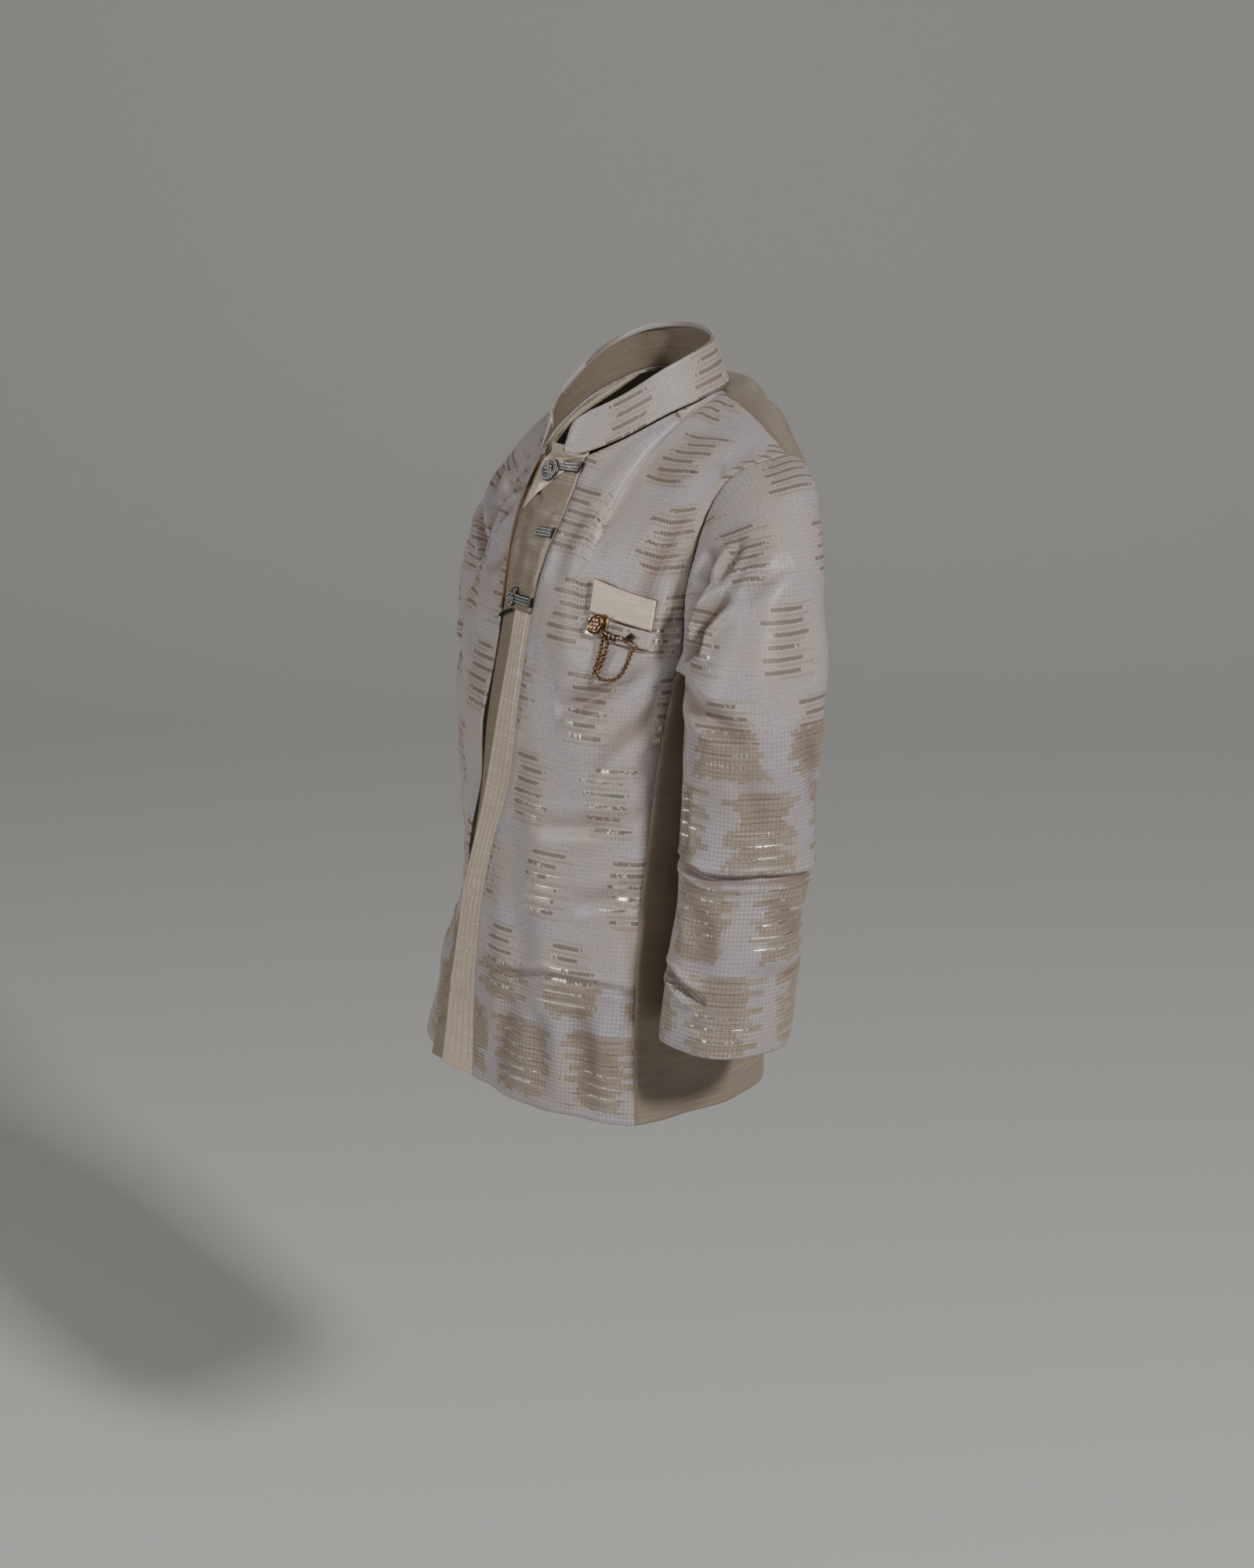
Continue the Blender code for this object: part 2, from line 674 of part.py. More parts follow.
# Body, sleeves and collar
left_surface = front_grid(2, 1)
YOKE_ENDS = (0.0, SHOULDER_SEAM_GAP)
body_rows = np.arange(BODY_ROWS + YOKE_ROWS + 1)
outer_insets = np.where(body_rows <= BODY_ROWS, SIDE_SEAM_GAP, ARMHOLE_GAP)
FRONT_SIDES = (SEAM[0], outer_insets)
BACK_SIDES = (outer_insets, outer_insets)
back_columns = np.abs(np.arange(-BACK_HALF_COLUMNS, BACK_HALF_COLUMNS + 1))
back_top = np.where(back_columns >= BACK_HALF_COLUMNS // 2, SHOULDER_SEAM_GAP, NECK_GAP)
BACK_ENDS = (0.0, back_top)
FRONT = dict(outside=ahead_of_body, end_gap=YOKE_ENDS, side_gap=FRONT_SIDES)
cloth_wall("left_front", left_surface, brocade, **FRONT)
cloth_wall("right_front", settled(front_grid(0, -1)), brocade, **FRONT)
cloth_wall("back", settled(back_grid()), silk, ahead_of_body, end_gap=BACK_ENDS, side_gap=BACK_SIDES)
cloth_wall("left_sleeve", sleeve_grid(1), brocade, lambda c: (c[0] - 0.2, c[1] + 0.03, 0), closed=True)
cloth_wall("right_sleeve", sleeve_grid(-1), brocade, lambda c: (c[0] + 0.2, c[1], 0), closed=True)
cloth_wall("collar", collar_grid(0.0), brocade, lambda c: (c[0], c[1], 0))
cloth_wall("collar_lining", collar_grid(-UNDERLAY), silk, lambda c: (c[0], c[1], 0), wall=0.001)

# Closure strips: the buttoned placket above, the topstitched band and the panel behind it below
placket = strip_grid(closure_edges, closure_ends, 8, 4, lambda x, z: 0.0)
band = strip_grid(band_edges, band_ends, 14, 3, flare)
panel = strip_grid(panel_edges, panel_ends, 20, 4, panel_ahead)
cloth_wall("placket", settled(placket), silk, ahead_of_body)
cloth_wall("topstitched_band", settled(band), silk, ahead_of_body)
cloth_wall("centre_panel", settled(panel), silk, ahead_of_body)

# Piping along the right front's edge and the black cord under the placket's slanting end
PIPING_RADIUS = 0.0009
PIPING_END_Z = -0.1550
piping_path = []
for z in np.linspace(PIPING_END_Z, NECKLINE_FRONT_Z - NECKLINE_DIP, 22):
    x = closure_x(z)[0]
    piping_path.append((x, front_y(x, z) - PIPING_RADIUS - SEAM_GAP, z))
tube("edge_piping", piping_path, PIPING_RADIUS, piping_satin)
CORD_RADIUS = 0.0012
CORD_ENDS_X = (-0.0080, 0.0080)
cord_path = []
for x in np.linspace(*CORD_ENDS_X, 9):
    z = closure_ends(x)[0] - CORD_RADIUS - SEAM_GAP
    cord_path.append((x, front_y(x, z) - CORD_RADIUS - SEAM_GAP, z))
tube("placket_end_cord", cord_path, CORD_RADIUS, black_cord)

# Chest pocket: a welt with the folded silk square standing in it
WELT_CORNERS = [(0.094, -0.1575), (0.1345, -0.1655), (0.1335, -0.1535), (0.093, -0.1420)]
SQUARE_CORNERS = [(0.0935, -0.1405), (0.1325, -0.1520), (0.1270, -0.1310), (0.0880, -0.1170)]
RAISED = WALL + 0.0008
cloth_wall("pocket_welt", laid_patch(left_surface, WELT_CORNERS, 2, 6, RAISED), brocade, ahead_of_body)
cloth_wall("pocket_square", laid_patch(left_surface, SQUARE_CORNERS, 3, 6, RAISED), silk, ahead_of_body)

# Fastenings: two domed buttons and three stone-set loop bars, each bar's end at the left front's seam
TOP_BUTTON = dict(x=0.0095, z=-0.0490, radius=0.0090, height=0.0062)
THIRD_BUTTON = dict(x=0.0055, z=-0.1455, radius=0.0055, height=0.0040)
BAR_HEIGHT = 0.0074
BAR_WALL = 0.0018
BAR_SEAT = 0.0010
BUTTON_SEAT = 0.0006
BAR_TABLE = np.array([
    # start_x, end_x, middle_z
    [0.0190, 0.0325, -0.0445],
    [0.0215, 0.0375, -0.0915],
    [0.0125, 0.0335, -0.1440],
])


def front_normal(x, z):
    """Outward normal of the fronts' surface near the centre front."""
    step = 0.002
    across = (front_y(x + step, z) - front_y(x - step, z)) / (2 * step)
    upward = (front_y(x, z + step) - front_y(x, z - step)) / (2 * step)
    normal = np.array([across, -1.0, upward])
    return normal / np.linalg.norm(normal)


def domed_button(name, x, z, radius, height):
    """A button with a flat rim and a raised round middle, its underside on the placket."""
    profile = [(0.0, height)]
    for turn in np.radians([25, 50, 75]):
        profile.append((0.62 * radius * math.sin(turn), 0.45 * height + 0.55 * height * math.cos(turn)))
    profile += [(0.72 * radius, 0.42 * height), (0.86 * radius, 0.50 * height)]
    profile += [(radius, 0.34 * height), (0.94 * radius, 0.0), (0.0, 0.0)]
    normal = front_normal(x, z)
    place = np.array([x, front_y(x, z), z]) + normal * BUTTON_SEAT
    turned(name, profile, 28, place, normal, silver)


domed_button("top_button", **TOP_BUTTON)
domed_button("third_button", **THIRD_BUTTON)
for number, (start_x, end_x, middle_z) in enumerate(BAR_TABLE, 1):
    bar = strip_grid(
        lambda z: (start_x, end_x),
        lambda x: (middle_z - BAR_HEIGHT / 2, middle_z + BAR_HEIGHT / 2),
        1,
        5,
        lambda x, z: BAR_WALL + BAR_SEAT,
    )
    cloth_wall(f"loop_bar_{number}", bar, silver, ahead_of_body, wall=BAR_WALL)

# Brooch on the pocket: a medallion, a bar with a square stone and a tip, and two chains
BROOCH_OUT = RAISED + 0.0006
MEDALLION = dict(x=0.1005, z=-0.1500, radius=0.0072, height=0.0050)
BROOCH_BAR = [(0.1085, -0.1540), (0.1285, -0.1650)]
BROOCH_BAR_HEIGHT = 0.0036
BROOCH_BAR_WALL = 0.0018
STONE_WALL = 0.0024
STONE_CORNERS = [(0.1186, -0.1618), (0.1244, -0.1618), (0.1244, -0.1560), (0.1186, -0.1560)]
CHAIN_RADIUS = 0.0009


def brooch_place(x, z, out):
    point, normal = surface_point(left_surface, x, z)
    return point + normal * out, normal


place, normal = brooch_place(MEDALLION["x"], MEDALLION["z"], BROOCH_OUT)
profile = [(0.0, MEDALLION["height"])]
for turn in np.radians([30, 60]):
    profile.append((0.55 * MEDALLION["radius"] * math.sin(turn), MEDALLION["height"] * (0.5 + 0.5 * math.cos(turn))))
profile += [(0.60 * MEDALLION["radius"], 0.0022), (0.85 * MEDALLION["radius"], 0.0026)]
profile += [(MEDALLION["radius"], 0.0014), (0.95 * MEDALLION["radius"], 0.0), (0.0, 0.0)]
turned("brooch_medallion", profile, 24, place, normal, antique_gold)
(bar_x, bar_z), (bar_end_x, bar_end_z) = BROOCH_BAR
half = BROOCH_BAR_HEIGHT / 2
bar_corners = [
    (bar_x, bar_z - half),
    (bar_end_x, bar_end_z - half),
    (bar_end_x, bar_end_z + half),
    (bar_x, bar_z + half),
]
bar_grid = laid_patch(left_surface, bar_corners, 1, 6, BROOCH_OUT + BROOCH_BAR_WALL)
cloth_wall("brooch_bar", bar_grid, antique_gold, ahead_of_body, wall=BROOCH_BAR_WALL)
stone_out = BROOCH_OUT + BROOCH_BAR_WALL + SEAM_GAP + STONE_WALL
stone_grid = laid_patch(left_surface, STONE_CORNERS, 1, 2, stone_out)
cloth_wall("brooch_stone", stone_grid, antique_gold, ahead_of_body, wall=STONE_WALL)

# Each chain's route by X and Z over the pocket, smooth through these points
CHAIN_ROUTES = {
    "brooch_chain_drop_1": [(0.1090, -0.1567), (0.1098, -0.1660), (0.1105, -0.1750), (0.1115, -0.1830)],
    "brooch_chain_drop_2": [(0.1122, -0.1585), (0.1128, -0.1665), (0.1135, -0.1745), (0.1143, -0.1815)],
    "brooch_chain_swag": [(0.1122, -0.1850), (0.1180, -0.1885), (0.1245, -0.1840), (0.1270, -0.1664)],
}
for name, route in CHAIN_ROUTES.items():
    over = [brooch_place(x, z, BROOCH_OUT + CHAIN_RADIUS)[0] for x, z in route]
    tube(name, curve_through(over, 14), CHAIN_RADIUS, antique_gold)
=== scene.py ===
# %% [markdown]
# # A short sherwani coat in jacquard brocade and raw silk
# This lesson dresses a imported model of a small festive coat: brocade fronts, sleeves and a stand
# collar, a plain silk back, silk strips down the closure with jewelled fastenings, and a brooch.
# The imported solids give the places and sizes, so every new piece is worked out from the same
# measured tables, only finer, and each one takes the place of its solid.

import bpy
import numpy as np
from mathutils import Matrix, Vector


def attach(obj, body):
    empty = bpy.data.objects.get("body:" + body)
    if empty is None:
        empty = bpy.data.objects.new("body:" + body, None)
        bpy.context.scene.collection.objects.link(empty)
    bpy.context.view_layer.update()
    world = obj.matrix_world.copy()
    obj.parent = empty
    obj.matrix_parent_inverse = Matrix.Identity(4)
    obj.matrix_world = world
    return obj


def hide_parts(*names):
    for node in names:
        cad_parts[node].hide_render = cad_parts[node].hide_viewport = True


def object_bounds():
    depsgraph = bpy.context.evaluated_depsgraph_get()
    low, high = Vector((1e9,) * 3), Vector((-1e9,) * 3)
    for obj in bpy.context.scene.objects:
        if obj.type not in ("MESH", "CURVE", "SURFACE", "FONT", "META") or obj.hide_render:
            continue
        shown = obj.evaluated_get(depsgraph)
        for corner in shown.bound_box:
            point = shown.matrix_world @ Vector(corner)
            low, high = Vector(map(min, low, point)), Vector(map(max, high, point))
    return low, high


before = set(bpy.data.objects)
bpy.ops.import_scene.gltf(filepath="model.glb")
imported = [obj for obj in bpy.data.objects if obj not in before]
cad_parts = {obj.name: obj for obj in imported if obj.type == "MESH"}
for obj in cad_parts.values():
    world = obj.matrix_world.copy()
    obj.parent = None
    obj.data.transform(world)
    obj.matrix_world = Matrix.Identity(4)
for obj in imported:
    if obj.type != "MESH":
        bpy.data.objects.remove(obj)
solid_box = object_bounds()
box_mm = [round(side * 1000) for side in solid_box[1] - solid_box[0]]
print("solids", len(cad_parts), "box", box_mm, "mm")

# %% [markdown]
# ## Camera, light and floor
# A long lens a few metres away shows a garment without bending it. The eye stands ahead and to
# the wearer's left, a little above the collar. The view is set by turning the lens until the
# middle of the neck falls on its pixel, which needs only two angles.
# Area lamps are used and not points, because satin and metal thread show the shape of a lamp. The
# one at the side is small and strong, so its folds have an edge, and the wide ones only fill.

# %% Camera
EYE = Vector((2.2517, -1.3, 0.42))
SENSOR_MM = 36.0
FOCAL_PIXELS = 4330.0
HALF_IMAGE = (800.0, 1000.0)
NECK_PIXEL = (820.0, 505.0)
camera = bpy.data.cameras.new("studio_camera")
camera.sensor_width = SENSOR_MM
camera.lens = FOCAL_PIXELS * SENSOR_MM / (2 * HALF_IMAGE[1])
camera_object = bpy.data.objects.new("studio_camera", camera)
bpy.context.collection.objects.link(camera_object)
heading = np.arctan2(-EYE.y, -EYE.x) + np.arctan((NECK_PIXEL[0] - HALF_IMAGE[0]) / FOCAL_PIXELS)
level = np.hypot(EYE.x, EYE.y)
tilt = np.arctan2(-EYE.z, level) - np.arctan((HALF_IMAGE[1] - NECK_PIXEL[1]) / FOCAL_PIXELS)
ahead = Vector((np.cos(tilt) * np.cos(heading), np.cos(tilt) * np.sin(heading), np.sin(tilt)))


def looking(place, direction):
    """A place turned so that a camera or lamp there faces along the direction."""
    return Matrix.Translation(place) @ direction.to_track_quat("-Z", "Y").to_matrix().to_4x4()


camera_object.matrix_world = looking(EYE, ahead)
bpy.context.scene.camera = camera_object
print("lens", round(camera.lens, 2), "mm, tilt", round(float(np.degrees(tilt)), 1), "degrees")


# %% Colours and nodes
def linear(code):
    """The linear colour of an sRGB hex code: each channel through the sRGB curve's inverse."""
    share = np.array([int(code[place : place + 2], 16) for place in (1, 3, 5)]) / 255
    light = np.where(share <= 0.04045, share / 12.92, ((share + 0.055) / 1.055) ** 2.4)
    return (*light.tolist(), 1.0)


def add(tree, kind, inputs=(), output=0, **settings):
    """Adds a node, sets its properties, and links or fills its inputs. Returns one of its outputs."""
    made = tree.nodes.new(kind)
    for name, value in settings.items():
        setattr(made, name, value)
    for place, value in dict(inputs).items():
        if isinstance(value, bpy.types.NodeSocket):
            tree.links.new(value, made.inputs[place])
        else:
            made.inputs[place].default_value = value
    return made.outputs[output]


def fill(shader, **sockets):
    """Links or sets a shader's sockets, named with _ for a space."""
    for socket, value in sockets.items():
        place = shader.inputs[socket.replace("_", " ")]
        if isinstance(value, bpy.types.NodeSocket):
            shader.id_data.links.new(value, place)
        else:
            place.default_value = value


def finish_named(name, **sockets):
    """A material with one Principled shader whose sockets hold these values."""
    material = bpy.data.materials.new(name)
    material.use_nodes = True
    shader = material.node_tree.nodes["Principled BSDF"]
    fill(shader, **sockets)
    return material, material.node_tree, shader


# %% Floor and lamps
FLOOR_Z = -1.05
BEND_START = 3.0
BEND_RADIUS = 2.0
WALL_TOP = 6.0
FLOOR_COLUMNS = 15
across = np.linspace(-7.0, 7.0, FLOOR_COLUMNS)
bend = np.linspace(0.1, np.pi / 2, 12)
level_part = np.linspace(-6.0, BEND_START, 10)
reach = np.concatenate([level_part, BEND_START + BEND_RADIUS * np.sin(bend), [BEND_START + BEND_RADIUS]])
rise = np.concatenate([0 * level_part, BEND_RADIUS - BEND_RADIUS * np.cos(bend), [WALL_TOP]])
away = Vector((ahead.x, ahead.y, 0)).normalized()
side = Vector((away.y, -away.x, 0))
floor_points = [
    tuple(away * far + side * wide + Vector((0, 0, FLOOR_Z + up)))
    for far, up in zip(reach, rise)
    for wide in across
]
floor_faces = [
    (corner, corner + 1, corner + 1 + FLOOR_COLUMNS, corner + FLOOR_COLUMNS)
    for row in range(len(reach) - 1)
    for corner in range(row * FLOOR_COLUMNS, (row + 1) * FLOOR_COLUMNS - 1)
]
floor_mesh = bpy.data.meshes.new("studio_floor")
floor_mesh.from_pydata(floor_points, [], floor_faces)
floor_mesh.shade_smooth()
floor = bpy.data.objects.new("studio_floor", floor_mesh)
bpy.context.collection.objects.link(floor)
floor_paper, _, _ = finish_named("Pale studio paper", Base_Color=linear("#D9D7D3"), Roughness=0.9)
floor_mesh.materials.append(floor_paper)

LAMPS = [
    # name, place, size, watts, colour
    ("front_key", (-0.4, -3.3, 0.7), 0.8, 40.0, "#FFFDFB"),
    ("side_key", (3.5, 0.3, 1.9), 0.45, 128.0, "#FFFDFB"),
    ("back_rim", (-1.6, 2.8, 2.2), 1.8, 6.0, "#FFFFFF"),
]
AIM = Vector((0.05, -0.03, -0.25))
for name, place, size, watts, tint in LAMPS:
    lamp = bpy.data.lights.new(name, "AREA")
    lamp.size = size
    lamp.energy = watts
    lamp.color = linear(tint)[:3]
    lamp_object = bpy.data.objects.new(name, lamp)
    lamp_object.matrix_world = looking(Vector(place), AIM - Vector(place))
    bpy.context.collection.objects.link(lamp_object)
world = bpy.data.worlds.new("studio")
world.use_nodes = True
fill(world.node_tree.nodes["Background"], Color=linear("#F2F2F5"), Strength=0.12)
bpy.context.scene.world = world
print("lamps", [row[0] for row in LAMPS])

# %% [markdown]
# ## The form under the cloth
# A coat on a body is a handful of smooth surfaces: a squarish tube for the body, two fronts and a
# back that rise to the shoulder, round sleeves and a standing band at the neck.
# They could be sculpted or draped by simulation. Here each is a net worked out from tables of
# sizes, which keeps the coat to its measured form, and the folds are laid on afterwards.

# %% Tables of the coat's sizes
HEM_Z = -0.527
UNDERARM_Z = -0.181
FRONT_COLUMNS = 15
BACK_HALF_COLUMNS = 12
BODY_ROWS = 12
YOKE_ROWS = 12
SLEEVE_SIDES = 2 * YOKE_ROWS
CAP_ROWS = 7
SLEEVE_ROWS = 11
BICEPS_Z = -0.195
UNDERARM_DEGREES = 244.0
CHEST_FULLNESS = 0.018
BLADE_FULLNESS = 0.024
CLOTH = 0.0013
THIN_CLOTH = 0.0008
BODY_TABLE = np.array([
    # z, half_width, middle_y, front_depth, back_depth, squareness, skew, corner
    [-0.527, 0.156, -0.045, 0.112, 0.118, 2.5, 0.05, 0.013],
    [-0.450, 0.151, -0.043, 0.112, 0.115, 2.5, 0.05, 0.010],
    [-0.377, 0.149, -0.040, 0.110, 0.110, 2.5, 0.04, 0.008],
    [-0.300, 0.148, -0.036, 0.106, 0.104, 2.5, 0.03, 0.005],
    [-0.240, 0.147, -0.032, 0.103, 0.098, 2.5, 0.02, 0.002],
    [-0.181, 0.148, -0.028, 0.096, 0.094, 2.5, 0.00, 0.000],
])
SIDE_SEAM_TABLE = np.array([
    # z, degrees from the centre front
    [-0.527, 66.0],
    [-0.450, 67.0],
    [-0.377, 68.0],
    [-0.300, 71.0],
    [-0.240, 74.0],
    [-0.181, 78.0],
])
CHEST_TABLE = np.array([
    # z, centre_y, curve_per_metre
    [-0.181, -0.1240, 1.0],
    [-0.146, -0.1180, 2.0],
    [-0.120, -0.1140, 3.5],
    [-0.095, -0.1080, 5.5],
    [-0.070, -0.0980, 8.5],
    [-0.052, -0.0880, 10.5],
    [-0.036, -0.0790, 12.0],
])
CLOSURE_TABLE = np.array([
    # z, right_edge_x, band_edge_x, left_seam_x
    [-0.527, -0.046, -0.037, 0.0045],
    [-0.480, -0.036, -0.031, 0.0055],
    [-0.425, -0.027, -0.023, 0.0075],
    [-0.380, -0.020, -0.016, 0.0110],
    [-0.337, -0.013, -0.008, 0.0190],
    [-0.283, -0.010, 0.003, 0.0360],
    [-0.214, -0.012, 0.009, 0.0360],
    [-0.162, -0.008, 0.011, 0.0335],
    [-0.128, -0.007, 0.012, 0.0355],
    [-0.080, -0.011, 0.013, 0.0380],
    [-0.036, -0.016, 0.014, 0.0310],
])
SLEEVE_TABLE = np.array([
    # z, middle_x, middle_y, half_x, half_y, right_middle_y
    [-0.195, 0.2020, -0.0230, 0.0495, 0.0515, -0.001],
    [-0.255, 0.2030, -0.0250, 0.0490, 0.0510, 0.004],
    [-0.313, 0.2040, -0.0285, 0.0480, 0.0505, 0.004],
    [-0.370, 0.2055, -0.0350, 0.0475, 0.0500, 0.004],
    [-0.410, 0.2070, -0.0420, 0.0470, 0.0490, 0.004],
    [-0.450, 0.2080, -0.0480, 0.0465, 0.0470, 0.004],
])
print("tables", BODY_TABLE.shape, CLOSURE_TABLE.shape, SLEEVE_TABLE.shape)

# %% Seam lines of the left half
NECK_CORNER_X = 0.032
NECKLINE_FRONT_Z = -0.036
NECKLINE_DIP = 0.005
SHOULDER_POINT = np.array([0.1550, 0.0345, -0.0240])
SIDE_NECK = np.array([0.0580, 0.0370, 0.0100])
SHOULDER_MIDDLE = (SIDE_NECK + SHOULDER_POINT) / 2 + [0.0, 0.0, 0.003]
CENTRE_BACK_NECK = np.array([0.0, 0.0610, 0.0160])
COLLAR_FRONT = np.array([
    # x, y, z
    [0.0165, -0.0793, -0.0376],
    [0.0300, -0.0697, -0.0349],
])
NECKLINE_FRONT = np.array([
    [0.0470, -0.0460, -0.0235],
    [0.0580, -0.0120, -0.0060],
    [0.0615, 0.0160, 0.0040],
])
NECKLINE_BACK = np.array([
    [0.0440, 0.0510, 0.0130],
    [0.0240, 0.0590, 0.0150],
])
ARMHOLE_FRONT = np.array([
    [0.1490, 0.0055, -0.0310],
    [0.1425, -0.0115, -0.0430],
    [0.1370, -0.0235, -0.0660],
    [0.1340, -0.0330, -0.0980],
    [0.1360, -0.0415, -0.1350],
    [0.1425, -0.0480, -0.1650],
])
ARMHOLE_BACK = np.array([
    [0.1490, -0.0150, -0.1800],
    [0.1480, 0.0150, -0.1700],
    [0.1450, 0.0380, -0.1480],
    [0.1420, 0.0540, -0.1180],
    [0.1430, 0.0570, -0.0850],
    [0.1480, 0.0580, -0.0520],
    [0.1530, 0.0500, -0.0300],
])
CENTRE_BACK = np.array([
    [0.0, 0.0690, -0.1300],
    [0.0, 0.0730, -0.0700],
    [0.0, 0.0690, -0.0200],
])
RIGHT_FALL = np.array([
    # z, how far the slacker right side falls back
    [-0.527, 0.000],
    [-0.450, 0.016],
    [-0.400, 0.028],
    [-0.350, 0.026],
    [-0.300, 0.014],
    [-0.250, 0.006],
    [-0.200, 0.001],
    [-0.181, 0.000],
])
print("armhole points", len(ARMHOLE_FRONT) + len(ARMHOLE_BACK))


# %% Reading a table and spacing points evenly
def hermite(t, start, leave, end, arrive):
    """The cubic that runs from start to end as t goes from 0 to 1, with these slopes at its ends."""
    kept = (2 * t**3 - 3 * t**2 + 1) * start + (3 * t**2 - 2 * t**3) * end
    return kept + (t**3 - 2 * t**2 + t) * leave + (t**3 - t**2) * arrive


def along(table, z):
    """Each other column at a height: cubics through the rows, with the rows' mean slopes."""
    rows = table[np.argsort(table[:, 0])]
    heights = rows[:, 0]
    z = np.clip(np.asarray(z, float), heights[0], heights[-1])
    slopes = np.gradient(rows[:, 1:], heights, axis=0)
    i = np.clip(np.searchsorted(heights, z) - 1, 0, len(heights) - 2)
    span = (heights[i + 1] - heights[i])[..., None]
    t = (z - heights[i])[..., None] / span
    value = hermite(t, rows[i, 1:], span * slopes[i], rows[i + 1, 1:], span * slopes[i + 1])
    return np.moveaxis(value, -1, 0)


def lengths_along(path):
    """How far along the path each of its points lies."""
    return np.concatenate([[0.0], np.cumsum(np.linalg.norm(np.diff(path, axis=0), axis=1))])


def read_at(places, gone, values):
    """The rows of values, which lie at these lengths along a path, read at other places on it."""
    return np.stack([np.interp(places, gone, column) for column in values.T], axis=1)


def evenly(path, count):
    """The path's points read again at even distances along it."""
    gone = lengths_along(path)
    return read_at(np.linspace(0.0, gone[-1], count), gone, path)


def curve_through(points, count):
    """A smooth curve through the points by Hermite cubics, read at even distances."""
    points = np.asarray(points, float)
    ring = np.vstack([2 * points[0] - points[1], points, 2 * points[-1] - points[-2]])
    slopes = (ring[2:] - ring[:-2]) / 2
    t = np.linspace(0.0, 1.0, 16, endpoint=False)[None, :, None]
    dense = hermite(t, points[:-1, None], slopes[:-1, None], points[1:, None], slopes[1:, None])
    return evenly(np.vstack([dense.reshape(-1, 3), points[-1:]]), count)


print("closure at the chest", [round(float(x) * 1000, 1) for x in along(CLOSURE_TABLE, -0.1)], "mm")


# %% Body sections and the fronts' middle
def side_degrees(z):
    """The side seam's angle from the centre front, at a height."""
    return along(SIDE_SEAM_TABLE, z)[0]


def section(z, degrees):
    """A superellipse at each height, with a soft corner swelling out at the side seam."""
    half_width, middle_y, front, back, squareness, skew, corner = along(BODY_TABLE, z)
    angle = np.radians(degrees)
    wide = np.sign(np.sin(angle)) * np.abs(np.sin(angle)) ** (2 / squareness)
    deep = np.sign(np.cos(angle)) * np.abs(np.cos(angle)) ** (2 / squareness)
    swell = corner * np.exp(-(((np.abs(degrees) - side_degrees(z)) / 14.0) ** 2))
    x = half_width * wide * (1 + skew * deep) + np.sign(wide) * swell
    return np.stack([x, middle_y - np.where(deep > 0, front, back) * deep, z + 0 * x], axis=-1)


def front_y(x, z):
    """Y of the fronts near the middle: the section below the underarm, a parabola across above it."""
    half_width, middle_y, front, _, squareness, skew, _ = along(BODY_TABLE, z)
    share = np.minimum(np.abs(x) / (half_width * (1 + skew)), 0.999)
    below = middle_y - front * (1 - share**squareness) ** (1 / squareness)
    centre_y, curve = along(CHEST_TABLE, z)
    return np.where(np.asarray(z) <= UNDERARM_Z, below, centre_y + curve * np.asarray(x) ** 2)


def arcs(z, start_degrees, end_degrees, count):
    """Even points along the section between two angles, one row for each height."""
    share = np.linspace(0.0, 1.0, 120)[None, :]
    degrees = start_degrees[:, None] * (1 - share) + end_degrees[:, None] * share
    return np.array([evenly(row, count) for row in section(z[:, None] + 0 * degrees, degrees)])


def degrees_at(z, x):
    """The section's angle where it has this X, on the front."""
    half_width, _, _, _, squareness, skew, _ = along(BODY_TABLE, z)
    share = np.minimum(np.abs(x) / (half_width * (1 + skew)), 1.0)
    return np.sign(x) * np.degrees(np.arcsin(share ** (squareness / 2)))


def coons(bottom, top, inner, outer):
    """A surface between four edges: two ruled surfaces added, less the one between the corners."""
    u = np.linspace(0.0, 1.0, len(bottom))[None, :, None]
    v = np.linspace(0.0, 1.0, len(inner))[:, None, None]
    corners = (1 - v) * ((1 - u) * bottom[0] + u * bottom[-1]) + v * ((1 - u) * top[0] + u * top[-1])
    return (1 - v) * bottom + v * top + (1 - u) * inner[:, None] + u * outer[:, None] - corners


def mirrored(points):
    """The points on the other side of the middle: X changes its sign."""
    return points * np.array([-1.0, 1.0, 1.0])


def settled(net):
    """The net with its right side let fall back, growing away from the middle."""
    x = np.minimum(net[..., 0], 0.0)
    fall = np.interp(net[..., 2], RIGHT_FALL[:, 0], RIGHT_FALL[:, 1])
    moved = net.copy()
    moved[..., 1] += fall * (1 - np.exp(-((x / 0.060) ** 2)))
    return moved


print("front at the chest, y", round(float(front_y(0.0, -0.1)) * 1000, 1), "mm")


# %% Nets of the fronts, back and sleeves
def armhole(between):
    """The seam from the underarm through the points between to the shoulder point."""
    top = section(np.array(UNDERARM_Z), side_degrees(UNDERARM_Z))
    return curve_through(np.vstack([top, between, SHOULDER_POINT]), YOKE_ROWS + 1)


